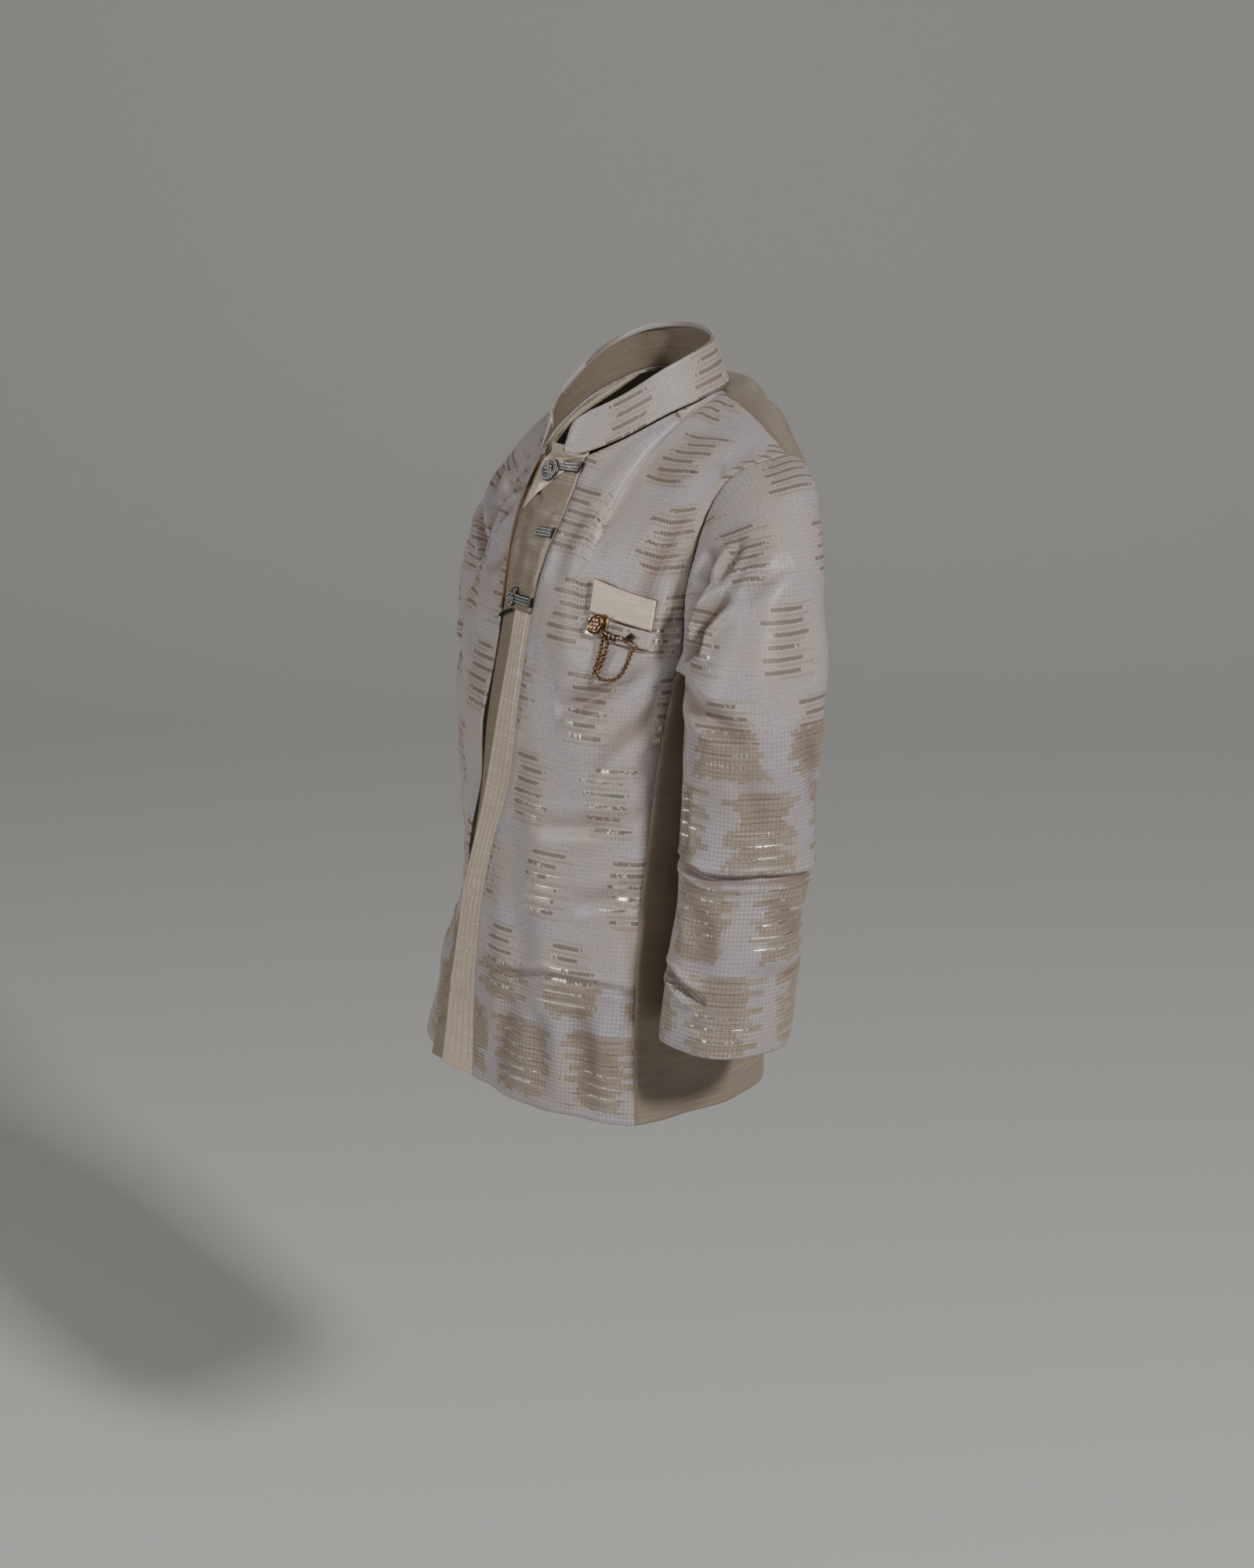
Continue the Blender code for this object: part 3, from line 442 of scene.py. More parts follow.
def front_net(inner_column, side):
    """Sections from the closure to the side seam, then a Coons patch up to neck and shoulder."""
    z = np.linspace(HEM_Z, UNDERARM_Z, BODY_ROWS + 1)
    inner_x = side * along(CLOSURE_TABLE, z)[inner_column]
    lower = arcs(z, degrees_at(z, inner_x), side_degrees(z), FRONT_COLUMNS + 1)
    z = np.linspace(UNDERARM_Z, NECKLINE_FRONT_Z, 24)
    x = side * along(CLOSURE_TABLE, z)[inner_column]
    inner = evenly(np.stack([x, front_y(x, z), z], axis=1), YOKE_ROWS + 1)
    inner[0] = lower[-1, 0]
    neck_columns = FRONT_COLUMNS // 2
    corner = [NECK_CORNER_X, float(front_y(NECK_CORNER_X, NECKLINE_FRONT_Z)), NECKLINE_FRONT_Z]
    start = [inner[-1]] if side > 0 else [inner[-1], corner]
    neckline = curve_through(np.vstack([*start, NECKLINE_FRONT, SIDE_NECK]), neck_columns + 1)
    shoulder = curve_through([SIDE_NECK, SHOULDER_MIDDLE, SHOULDER_POINT], FRONT_COLUMNS - neck_columns + 1)
    upper = coons(lower[-1], np.vstack([neckline, shoulder[1:]]), inner, armhole(ARMHOLE_FRONT[::-1]))
    up = np.linspace(0.0, 1.0, YOKE_ROWS + 1)[:, None]
    out = np.linspace(0.0, 1.0, FRONT_COLUMNS + 1)[None, :]
    upper[:, :, 1] -= CHEST_FULLNESS * np.sin(np.pi * up**0.8) * np.sin(np.pi * out)
    net = np.vstack([lower, upper[1:]])
    return net if side > 0 else mirrored(net)


def back_net():
    """The left half from side seam to centre back and up to shoulder and neck, then its mirror."""
    z = np.linspace(HEM_Z, UNDERARM_Z, BODY_ROWS + 1)
    lower = arcs(z, side_degrees(z), np.full(z.shape, 180.0), BACK_HALF_COLUMNS + 1)
    inner = curve_through(np.vstack([lower[-1, -1], CENTRE_BACK, CENTRE_BACK_NECK]), YOKE_ROWS + 1)
    half = BACK_HALF_COLUMNS // 2
    shoulder = curve_through([SHOULDER_POINT, SHOULDER_MIDDLE, SIDE_NECK], half + 1)
    neckline = curve_through(np.vstack([SIDE_NECK, NECKLINE_BACK, CENTRE_BACK_NECK]), half + 1)
    upper = coons(lower[-1], np.vstack([shoulder, neckline[1:]]), armhole(ARMHOLE_BACK), inner)
    up = np.linspace(0.0, 1.0, YOKE_ROWS + 1)[:, None]
    out = np.linspace(0.0, 1.0, BACK_HALF_COLUMNS + 1)[None, :]
    swell = BLADE_FULLNESS * up**4 * (1 - up) / (0.8**4 * 0.2) * np.sin(np.pi * np.minimum(out, 0.5))
    upper += swell[:, :, None] * np.array([0.0, 0.6, 0.8])
    left = np.vstack([lower, upper[1:]])
    return np.concatenate([left, mirrored(left)[:, -2::-1]], axis=1)


def sleeve_net(side):
    """Cubics from the armhole down to the biceps ring, then ellipses down to the cuff."""
    loop = np.vstack([armhole(ARMHOLE_FRONT[::-1])[:-1], armhole(ARMHOLE_BACK)[:0:-1]])
    low = (SHOULDER_POINT[2] - loop[:, 2:]) / (SHOULDER_POINT[2] - UNDERARM_Z)
    turn = np.radians(UNDERARM_DEGREES - np.arange(SLEEVE_SIDES) * 360.0 / SLEEVE_SIDES)
    z = np.linspace(BICEPS_Z, SLEEVE_TABLE[-1, 0], SLEEVE_ROWS + 1)[:, None]
    middle_x, middle_y, half_x, half_y, right_y = along(SLEEVE_TABLE, z)
    middle = middle_y if side > 0 else right_y
    x = middle_x + half_x * np.sin(turn)
    rings = np.stack([x, middle + half_y * np.cos(turn), z + 0 * x], axis=-1)
    drop = rings[0] - loop
    leave = drop * [1.35, 0.9, 0.0 if side > 0 else 0.30] + low**4 * [0.014, 0.0, 0.0]
    arrive = drop * [0.0, 0.5, 1.5]
    t = np.linspace(0.0, 1.0, CAP_ROWS + 1)[:, None, None]
    net = np.vstack([hermite(t, loop, leave, rings[0], arrive), rings[1:]])
    return net if side > 0 else mirrored(net)


print("nets", front_net(2, 1).shape, back_net().shape, sleeve_net(1).shape)


# %% Making a net finer and smoother
def spline_shares(steps, closed=False):
    """Catmull-Rom weights: each fine point between two net points leans on the four nearest.

    steps gives how many fine steps each coarse step is cut into.
    """
    count = len(steps) if closed else len(steps) + 1
    base = np.repeat(np.arange(len(steps)), steps)
    t = np.concatenate([np.arange(n) / n for n in steps])
    if not closed:
        base = np.append(base, len(steps) - 1)
        t = np.append(t, 1.0)
    near = [
        -t / 2 + t**2 - t**3 / 2,
        1 - 5 * t**2 / 2 + 3 * t**3 / 2,
        t / 2 + 2 * t**2 - 3 * t**3 / 2,
        -(t**2) / 2 + t**3 / 2,
    ]
    padded = np.zeros((len(t), count + 2))
    rows = np.arange(len(t))
    for offset, share in enumerate(near):
        if closed:
            np.add.at(padded, (rows, (base + offset - 1) % count + 1), share)
        else:
            np.add.at(padded, (rows, base + offset), share)
    shares = padded[:, 1:-1]
    if not closed:
        shares[:, 0] += 2 * padded[:, 0]
        shares[:, 1] -= padded[:, 0]
        shares[:, -1] += 2 * padded[:, -1]
        shares[:, -2] -= padded[:, -1]
    return shares


def finer(net, down, around, closed=False):
    """The smooth surface through a net, read at fine steps in both directions."""
    return np.einsum(
        "rj,jik,ci->rck", spline_shares(down), net, spline_shares(around, closed), optimize=True
    )


def eased(surface, first_row, passes, closed=False):
    """Evens out the rows above first_row: each point moves half way to the mean of its neighbours."""
    surface = surface.copy()
    for _ in range(passes):
        mean = surface.copy()
        if closed:
            sides = np.roll(surface, 1, axis=1) + np.roll(surface, -1, axis=1)
            mean[1:-1] = (sides[1:-1] + surface[:-2] + surface[2:]) / 4
        else:
            mean[1:-1, 1:-1] = (
                surface[1:-1, :-2] + surface[1:-1, 2:] + surface[:-2, 1:-1] + surface[2:, 1:-1]
            ) / 4
        surface[first_row:-1] = (surface[first_row:-1] + mean[first_row:-1]) / 2
    return surface


def normals_of(surface, closed=False):
    """Unit normals from the cross product of the steps across and up, pointing away from the coat."""
    if closed:
        wide = np.roll(surface, -1, axis=1) - np.roll(surface, 1, axis=1)
    else:
        wide = np.gradient(surface, axis=1)
    high = np.gradient(surface, axis=0)
    normal = np.cross(wide, high)
    return normal / np.maximum(np.linalg.norm(normal, axis=-1, keepdims=True), 1e-12)


def forward_normals(surface):
    """Unit normals of a net on the coat's front, all turned forward, towards -Y."""
    normals = normals_of(surface)
    return normals * np.where(normals[..., 1:2] > 0, -1.0, 1.0)


FINE_ROWS = 14
FINE_YOKE_ROWS = 7
FINE_COLUMNS = 6
FRONT_STEPS = [FINE_ROWS] * BODY_ROWS + [FINE_YOKE_ROWS] * YOKE_ROWS
LEVEL = FINE_ROWS * BODY_ROWS


def fine_front(column, side):
    """A front's fine surface, its yoke eased. column is its closure edge's place in the table."""
    surface = finer(front_net(column, side), FRONT_STEPS, [FINE_COLUMNS] * FRONT_COLUMNS)
    return eased(surface, LEVEL + 3, 14)


LEFT_SEAM_COLUMN = 2
RIGHT_EDGE_COLUMN = 0
left_surface = fine_front(LEFT_SEAM_COLUMN, 1)
right_surface = fine_front(RIGHT_EDGE_COLUMN, -1)
print("front nets", left_surface.shape, right_surface.shape)

# %% [markdown]
# ## The cut
# Cloth is woven flat, so its pattern runs along threads and not along the net. Each piece gets a
# cut map in metres: how far a point lies across the cloth and how far up it.
# Unwrapping tools could guess one, but the pattern would bend with the neckline. Here the map is
# walked up the body, adding the true length of each step across and up.


# %% Cut maps
def front_cut(surface, level_rows, start):
    """Across is the closure's X plus the length along each level row, and up is the height.

    Above the level rows a step up adds its length as seen from the side, and a step across
    its length as seen from above.
    """
    side = np.sign(surface[level_rows, -1, 0])
    flat = surface * [side, 1.0, 1.0]
    steps = np.linalg.norm(np.diff(flat[: level_rows + 1], axis=1), axis=-1)
    u = np.concatenate([np.zeros((level_rows + 1, 1)), np.cumsum(steps, axis=1)], axis=1)
    u += start[: level_rows + 1, None]
    across_step = np.gradient(flat, axis=1)
    up_step = np.gradient(flat, axis=0)
    area = across_step[..., 0] * up_step[..., 2] - up_step[..., 0] * across_step[..., 2]
    slope = (across_step[..., 1] * up_step[..., 2] - up_step[..., 1] * across_step[..., 2]) / np.where(
        np.abs(area) < 1e-9, 1e-9, area
    )
    slope = np.clip(slope, -1.6, 1.6)
    moved = np.diff(flat, axis=0)
    du = moved[..., 0] * np.sqrt(1 + slope[1:] ** 2)
    depth = moved[..., 1] - slope[1:] * moved[..., 0]
    dv = np.sqrt(moved[..., 2] ** 2 + depth**2)
    high = level_rows
    u = np.concatenate([u, u[-1] + np.cumsum(du[high:], axis=0)])
    v = np.concatenate([flat[: high + 1, :, 2], flat[high, :, 2] + np.cumsum(dv[high:], axis=0)])
    return np.stack([u, v], axis=-1)


SLEEVE_RADIUS = 0.050


def sleeve_cut(surface, cap_rows):
    """Across is the turn round the sleeve from its front times its radius, and up the length along it."""
    columns = surface.shape[1]
    turn = np.radians(180.0 - UNDERARM_DEGREES + 360.0 * np.arange(columns + 1) / columns)
    steps = np.linalg.norm(np.diff(surface, axis=0), axis=-1)
    gone = np.concatenate([np.zeros((1, columns)), np.cumsum(steps, axis=0)])
    v = BICEPS_Z - gone + gone[cap_rows]
    v = np.concatenate([v, v[:, :1]], axis=1)
    return np.stack([np.broadcast_to(turn * SLEEVE_RADIUS, v.shape), v], axis=-1)


def strip_cut(surface):
    """Across is the length along each row from its first point, and up is the length of the columns."""
    wide = np.linalg.norm(np.diff(surface, axis=1), axis=-1)
    high = np.linalg.norm(np.diff(surface, axis=0), axis=-1)
    u = np.concatenate([np.zeros((len(surface), 1)), np.cumsum(wide, axis=1)], axis=1)
    v = np.concatenate([np.zeros((1, surface.shape[1])), np.cumsum(high, axis=0)])
    return np.stack([u, v], axis=-1)


def closure_x(surface, column, side):
    """How far out each level row of a front starts."""
    return np.append(side * along(CLOSURE_TABLE, surface[: LEVEL + 1, 0, 2])[column], 0.0)


left_cut = front_cut(left_surface, LEVEL, closure_x(left_surface, LEFT_SEAM_COLUMN, 1))
right_cut = front_cut(right_surface, LEVEL, closure_x(right_surface, RIGHT_EDGE_COLUMN, -1))
print("left front cut", [round(float(x) * 1000) for x in np.ptp(left_cut.reshape(-1, 2), axis=0)], "mm")

# %% [markdown]
# ## Folds
# A worn coat creases where it was packed, where the arm pulls at the armhole and where a seam
# holds it back. Cloth simulation would give creases in places of its own choosing, so the main
# ones are placed along listed routes on the cut: each is a valley with two low shoulders that
# fades to both ends. Beneath them lies a slow swell of a millimetre or so, so no panel is flat.


# %% Valleys along routes, and a slow swell
FAR = 9.0


def valley(cut, route, width, depth):
    """Depth at every point: a Gaussian trough along the route between two lower ridges."""
    u, v = cut[..., 0], cut[..., 1]
    route = np.array(route, float)
    nearest = np.full(u.shape, FAR)
    place = np.zeros(u.shape)
    for number, (start, end) in enumerate(zip(route[:-1], route[1:])):
        step = end - start
        share = np.clip(((u - start[0]) * step[0] + (v - start[1]) * step[1]) / (step @ step), 0.0, 1.0)
        gap = np.hypot(u - start[0] - share * step[0], v - start[1] - share * step[1])
        closer = gap < nearest
        nearest = np.where(closer, gap, nearest)
        place = np.where(closer, (number + share) / (len(route) - 1), place)
    fade = np.sin(np.pi * np.clip(place, 0.0, 1.0)) ** 0.5
    d = nearest / width
    return depth * fade * (0.45 * np.exp(-(((d - 1.8) / 0.8) ** 2)) - np.exp(-(d**2)))


def swell(cut, seed, height, wave):
    """A sum of eight seeded plane waves of about one wavelength, its mean square kept to height."""
    random = np.random.default_rng(seed)
    u, v = cut[..., 0], cut[..., 1]
    total = np.zeros(u.shape)
    for _ in range(8):
        angle = random.uniform(0, np.pi)
        length = wave * random.uniform(0.6, 1.6)
        phase = random.uniform(0, 2 * np.pi)
        total += np.sin(2 * np.pi * (u * np.cos(angle) * 1.3 + v * np.sin(angle)) / length + phase)
    return height * total / 2


FOLD_DEPTH = 1.5
FULL_SHADE_DEPTH = 0.0042
SEAM_HOLD = 0.009
SWELL_HOLD = 0.020
SWELL_WAVE = 0.085
PUCKER_PITCH = 0.013
PUCKER_HEIGHT = 0.0005
SEAM_DIP = 0.0006


def creased(cut, creases):
    """The valleys' depths added up. A crease is its route on the cut, half width and depth, in mm."""
    depth = np.zeros(cut.shape[:2])
    for route, width, amount in creases:
        depth += valley(cut, np.array(route, float) / 1000, width / 1000, amount / 1000)
    return depth


def edge_distance(cut, edges):
    """Distance on the cut from the named edges: bottom, top, first, last."""
    u, v = cut[..., 0], cut[..., 1]
    off = {"bottom": v - v[:1], "top": v - v[-1:], "first": u - u[:, :1], "last": u - u[:, -1:]}
    return np.minimum.reduce([np.full(u.shape, FAR), *(np.abs(off[edge]) for edge in edges)])


def painted_crease_shade(cut, creases):
    """Painted shade for creases: how deep each point lies in a crease, from 0 on flat cloth to 1 at the
    bottom of a deep one.
    """
    return np.clip(-creased(cut, creases) / FULL_SHADE_DEPTH, 0.0, 1.0)


def folded(surface, cut, creases, seed, seams, outward=1.0, slow=0.0011):
    """Moves a surface along its normals: creases, the slow swell, and a dip at each sewn edge.

    Creases and swell fade out towards a seam, which holds the cloth, and a low pucker runs beside it.
    """
    near = cut[:, : surface.shape[1]]
    closed = cut.shape[1] > surface.shape[1]
    pucker = 1 + 0.5 * np.sin(near[..., 1] * 2 * np.pi / PUCKER_PITCH + 3 * np.sin(near[..., 1] * 90))
    gap = edge_distance(near, seams)
    depth = creased(near, creases) * FOLD_DEPTH * (1 - np.exp(-((gap / SEAM_HOLD) ** 2)))
    depth += swell(near, seed, slow, SWELL_WAVE) * (1 - np.exp(-((gap / SWELL_HOLD) ** 2)))
    depth += PUCKER_HEIGHT * pucker * np.exp(-(((gap - 0.006) / 0.004) ** 2))
    depth -= SEAM_DIP * np.exp(-((gap / 0.0020) ** 2))
    return surface + outward * depth[..., None] * normals_of(surface, closed)


lowest = valley(np.zeros((1, 1, 2)), [(-0.1, 0), (0.1, 0)], 0.004, 0.003).min()
print("a 3 mm valley is", round(float(lowest) * 1000, 1), "mm at its middle")

# %% [markdown]
# ## From net to cloth
# A garment's cloth has an inside and an edge you can see at the hem, cuff and neck. A single
# sheet of faces would vanish edge on, so each net is thickened inwards with the Solidify
# modifier by the cloth's and lining's thickness.

# %% Faces of a net, and joining a piece to the coat
def net_faces(rows, columns, closed=True):
    """Quads of a net whose rows follow each other, joined round where closed."""
    around = columns if closed else columns - 1
    j, i = np.meshgrid(np.arange(rows - 1), np.arange(around), indexing="ij")
    here, above = j.ravel() * columns, (j.ravel() + 1) * columns
    i, after = i.ravel(), (i.ravel() + 1) % columns
    return np.stack([here + i, here + after, above + after, above + i], 1)


def joined_to_coat(name, mesh, nodes):
    """The object of a finished mesh, riding on the coat in the place of these nodes."""
    piece = bpy.data.objects.new(name, mesh)
    bpy.context.collection.objects.link(piece)
    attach(piece, "root")
    if nodes:
        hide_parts(*nodes)
    return piece


print("a net of 3 by 3 points has", len(net_faces(3, 3, closed=False)), "faces")


# %% Cloth pieces
def cloth(name, surface, cut, material, nodes, axis, blocks=None, thickness=CLOTH, inside=None, tone=None):
    """A thickened piece from a net, which is closed round where its cut has one more column.

    axis is the (x, y) that its outer side faces away from, inside the material of its inner wall
    where that is another cloth, and tone how deep each point lies in a crease.
    """
    rows, columns = surface.shape[:2]
    corners = net_faces(rows, columns, closed=cut.shape[1] > columns)
    middle = surface.reshape(-1, 3)[corners].mean(axis=1)
    first, second, last = (surface.reshape(-1, 3)[corners[:, k]] for k in (0, 1, 3))
    facing = np.cross(second - first, last - first)
    outward = (facing[:, :2] * (middle[:, :2] - np.array(axis))).sum()
    order = [0, 1, 2, 3] if outward > 0 else [0, 3, 2, 1]
    on_cut = net_faces(rows, cut.shape[1], closed=False)
    mesh = bpy.data.meshes.new(name)
    mesh.from_pydata(surface.reshape(-1, 3), [], corners[:, order])
    layer = mesh.uv_layers.new(name="cut")
    layer.data.foreach_set("uv", cut.reshape(-1, 2)[on_cut[:, order]].astype(np.float32).ravel())
    for label, values in (("blocks", blocks), ("tone", tone)):
        field = mesh.attributes.new(label, "FLOAT", "POINT")
        shade = np.zeros(rows * columns, np.float32) if values is None else values.astype(np.float32).ravel()
        field.data.foreach_set("value", shade)
    mesh.shade_smooth()
    mesh.materials.append(material)
    mesh.materials.append(inside or material)
    piece = joined_to_coat(name, mesh, nodes)
    shell = piece.modifiers.new("Wall", "SOLIDIFY")
    shell.thickness = thickness
    shell.offset = -1.0
    shell.material_offset = 1
    area = float(np.linalg.norm(facing, axis=1).sum())
    size = np.ptp(cut.reshape(-1, 2), axis=0)
    print(name, len(mesh.polygons), "faces,", round(area * 1e4), "cm2 of cloth")
    return piece, size, area


# %% [markdown]
# ## Jacquard brocade
# The real cloth is a jacquard: satin warp in lilac and ivory with metal thread carried across it
# in short bars. The bars stand in stacks of six, 9 mm apart, and every stack is set outwards of
# the one above. Its beige blocks between panels of small light dots are shown only low on the coat
# and on the sleeves, with the ground painted darker there: painted shade of cloth turned from the
# light, while the lighter, plainer ground above stands in for the sheen. The pattern is drawn on the
# cut map, in millimetres, so it follows the threads. Weave finer than a pixel is left to the sheen.

# %% Brocade: places on the cut
STACK_PITCH = 0.075
BAND_PITCH = 0.069
BAND_SHIFT = 0.028
BAR_PITCH = 0.009
TICK_ROW_PITCH = BAR_PITCH / 2
THREAD_TICK = 0.0019
DOT_PITCH = 0.0033
MATH = "ShaderNodeMath"
RANGE = "ShaderNodeMapRange"
NOISE = "ShaderNodeTexNoise"
CHANCE = "ShaderNodeTexWhiteNoise"
MIX = "ShaderNodeMix"
OF_COLOURS = {"output": 2, "data_type": "RGBA"}


def whole_and_part(tree, value):
    """The whole steps in a value, and the share of a step that is left over."""
    whole = add(tree, MATH, {0: value}, operation="FLOOR")
    return whole, add(tree, MATH, {0: value, 1: whole}, operation="SUBTRACT")


def distance_from(tree, value, middle):
    """How far a value lies from a middle, on either side."""
    gap = add(tree, MATH, {0: value, 1: middle}, operation="SUBTRACT")
    return add(tree, MATH, {0: gap}, operation="ABSOLUTE")


brocade, tree, shader = finish_named(
    "Lilac and ivory jacquard brocade", Roughness=0.44, Sheen_Weight=0.18, Sheen_Roughness=0.4
)
place = add(tree, "ShaderNodeUVMap", uv_map="cut")
split = tree.nodes.new("ShaderNodeSeparateXYZ")
tree.links.new(place, split.inputs[0])
u, v = split.outputs[0], split.outputs[1]
blocks = add(tree, "ShaderNodeAttribute", output=2, attribute_name="blocks")
down = add(tree, MATH, {0: v, 1: -1 / BAND_PITCH, 2: 0.35}, operation="MULTIPLY_ADD")
band, within = whole_and_part(tree, down)
over = add(tree, MATH, {0: u, 1: 1 / STACK_PITCH, 2: 0.10}, operation="MULTIPLY_ADD")
over = add(tree, MATH, {0: band, 1: -BAND_SHIFT / STACK_PITCH, 2: over}, operation="MULTIPLY_ADD")
stack, inside = whole_and_part(tree, over)
bars = add(tree, MATH, {0: within, 1: BAND_PITCH / BAR_PITCH}, operation="MULTIPLY")
bar, in_bar = whole_and_part(tree, bars)

# One chance for each bar, and one for each tick of thread along it
bar_key = add(tree, "ShaderNodeCombineXYZ", {0: stack, 1: band, 2: bar})
bar_chance = tree.nodes.new(CHANCE)
tree.links.new(bar_key, bar_chance.inputs["Vector"])
chance = tree.nodes.new("ShaderNodeSeparateColor")
tree.links.new(bar_chance.outputs["Color"], chance.inputs[0])
leaning = add(tree, MATH, {0: v, 1: 0.35, 2: u}, operation="MULTIPLY_ADD")
tick_place = add(tree, MATH, {0: leaning, 1: 1 / THREAD_TICK}, operation="MULTIPLY")
tick, in_tick = whole_and_part(tree, tick_place)
row = add(tree, MATH, {0: v, 1: 1 / TICK_ROW_PITCH}, operation="MULTIPLY")
row = add(tree, MATH, {0: row}, operation="FLOOR")
tick_key = add(tree, "ShaderNodeCombineXYZ", {0: tick, 1: row})
tick_chance = add(tree, CHANCE, {"Vector": tick_key})
print("places", len(tree.nodes), "nodes")

# %% Brocade: dark bars and fainter ticks between them
# A bar is near its own centre line, within its own length, and broken at its ends
thick = distance_from(tree, in_bar, 0.5)
half_thick = add(tree, MATH, {0: blocks, 1: -0.10, 2: 0.155}, operation="MULTIPLY_ADD")
half_thick = add(tree, MATH, {0: tick_chance, 1: 0.05, 2: half_thick}, operation="MULTIPLY_ADD")
thin_edge = add(tree, MATH, {0: half_thick, 1: thick}, operation="SUBTRACT")
bar_line = add(tree, RANGE, {0: thin_edge, 1: -0.03, 2: 0.04})
centre = add(tree, MATH, {0: chance.outputs[0], 1: 0.15, 2: 0.33}, operation="MULTIPLY_ADD")
off = distance_from(tree, inside, centre)
ragged = add(tree, MATH, {0: tick_chance, 1: 0.08, 2: off}, operation="MULTIPLY_ADD")
half_long = add(tree, MATH, {0: chance.outputs[1], 1: 0.11, 2: 0.19}, operation="MULTIPLY_ADD")
longer = add(tree, MATH, {0: blocks, 1: 0.08, 2: half_long}, operation="MULTIPLY_ADD")
in_length = add(tree, MATH, {0: ragged, 1: longer}, operation="LESS_THAN")
in_stack = add(tree, MATH, {0: bar, 1: 5.5}, operation="LESS_THAN")
main = add(tree, MATH, {0: bar_line, 1: in_length}, operation="MULTIPLY")
main = add(tree, MATH, {0: main, 1: in_stack}, operation="MULTIPLY")

# Between two bars runs a fainter row of upright ticks
half_row = add(tree, MATH, {0: bars, 1: 0.5}, operation="ADD")
half_row = add(tree, MATH, {0: half_row}, operation="FRACT")
half_row = distance_from(tree, half_row, 0.5)
tick_line = add(tree, RANGE, {0: half_row, 1: 0.11, 2: 0.19, 3: 1.0, 4: 0.0})
upright = add(tree, MATH, {0: in_tick, 1: 0.5}, operation="LESS_THAN")
tick_middle = add(tree, MATH, {0: chance.outputs[2], 1: -0.16, 2: 0.53}, operation="MULTIPLY_ADD")
tick_off = distance_from(tree, inside, tick_middle)
tick_off = add(tree, MATH, {0: tick_chance, 1: 0.07, 2: tick_off}, operation="MULTIPLY_ADD")
tick_long = add(tree, MATH, {0: tick_off, 1: 0.26}, operation="LESS_THAN")
below_top = add(tree, MATH, {0: bars, 1: 6.3}, operation="LESS_THAN")
ticks = add(tree, MATH, {0: tick_line, 1: upright}, operation="MULTIPLY")
ticks = add(tree, MATH, {0: ticks, 1: tick_long}, operation="MULTIPLY")
ticks = add(tree, MATH, {0: ticks, 1: below_top}, operation="MULTIPLY")
print("bars", len(tree.nodes), "nodes so far")

# %% Brocade: satin ground, beige blocks and dots
# Blocks stand round the stacks, with edges that step by a thread group
step_u = add(tree, MATH, {0: u, 1: 1 / DOT_PITCH}, operation="MULTIPLY")
step_u = add(tree, MATH, {0: step_u}, operation="FLOOR")
step_key = add(tree, "ShaderNodeCombineXYZ", {0: step_u, 1: row})
step_chance = add(tree, CHANCE, {"Vector": step_key})
row_key = add(tree, "ShaderNodeCombineXYZ", {0: row, 1: stack})
row_chance = add(tree, CHANCE, {"Vector": row_key})
# The mask here follows the blocks attribute, which is high only low on the coat and sleeves: the blocks show
# only there, painted as cloth turned from the light.
away_from_light = add(tree, MATH, {0: step_chance, 1: 0.30, 2: blocks}, operation="MULTIPLY_ADD")
away_from_light = add(tree, MATH, {0: away_from_light, 1: 0.65}, operation="GREATER_THAN")
reach_u = distance_from(tree, inside, 0.44)
soft_u = add(tree, RANGE, {0: reach_u, 1: 0.20, 2: 0.48, 3: 1.0, 4: 0.0}, interpolation_type="SMOOTHSTEP")
soft_v = add(tree, RANGE, {0: within, 1: 0.70, 2: 0.95, 3: 1.0, 4: 0.0}, interpolation_type="SMOOTHSTEP")
halo = add(tree, MATH, {0: soft_u, 1: soft_v}, operation="MULTIPLY")
reach_u = add(tree, MATH, {0: row_chance, 1: 0.26, 2: reach_u}, operation="MULTIPLY_ADD")
reach_u = add(tree, MATH, {0: step_chance, 1: 0.08, 2: reach_u}, operation="MULTIPLY_ADD")
block_u = add(tree, MATH, {0: reach_u, 1: 0.50}, operation="LESS_THAN")
block_v = add(tree, MATH, {0: step_chance, 1: 0.06, 2: within}, operation="MULTIPLY_ADD")
block_v = add(tree, MATH, {0: block_v, 1: 0.90}, operation="LESS_THAN")
block = add(tree, MATH, {0: block_u, 1: block_v}, operation="MULTIPLY")
block_away_from_light = add(tree, MATH, {0: block, 1: away_from_light}, operation="MULTIPLY")

# Small light dots: strong on the lilac panels near a block, weak elsewhere
grid = []
for direction, low, high in ((u, 0.30, 0.55), (v, 0.35, 0.60)):
    wave = add(tree, MATH, {0: direction, 1: 2 / DOT_PITCH}, operation="MULTIPLY")
    wave = add(tree, MATH, {0: wave, 1: 1.0}, operation="PINGPONG")
    grid.append(add(tree, RANGE, {0: wave, 1: low, 2: high}))
dots = add(tree, MATH, {0: grid[0], 1: grid[1]}, operation="MULTIPLY")
above = add(tree, MATH, {0: away_from_light, 1: 0.45, 2: 0.55}, operation="MULTIPLY_ADD")
dots = add(tree, MATH, {0: dots, 1: above}, operation="MULTIPLY")
drift = add(tree, NOISE, {"Vector": place, "Scale": 26.0, "Detail": 1.0})
dot_strength = add(tree, RANGE, {0: drift, 1: 0.38, 2: 0.62, 3: 0.24, 4: 0.62})
on_beige = add(tree, MATH, {0: block_away_from_light, 1: -0.35, 2: 1.0}, operation="MULTIPLY_ADD")
dot_strength = add(tree, MATH, {0: dot_strength, 1: on_beige}, operation="MULTIPLY")
dots = add(tree, MATH, {0: dots, 1: dot_strength}, operation="MULTIPLY")
print("blocks and dots", len(tree.nodes), "nodes so far")

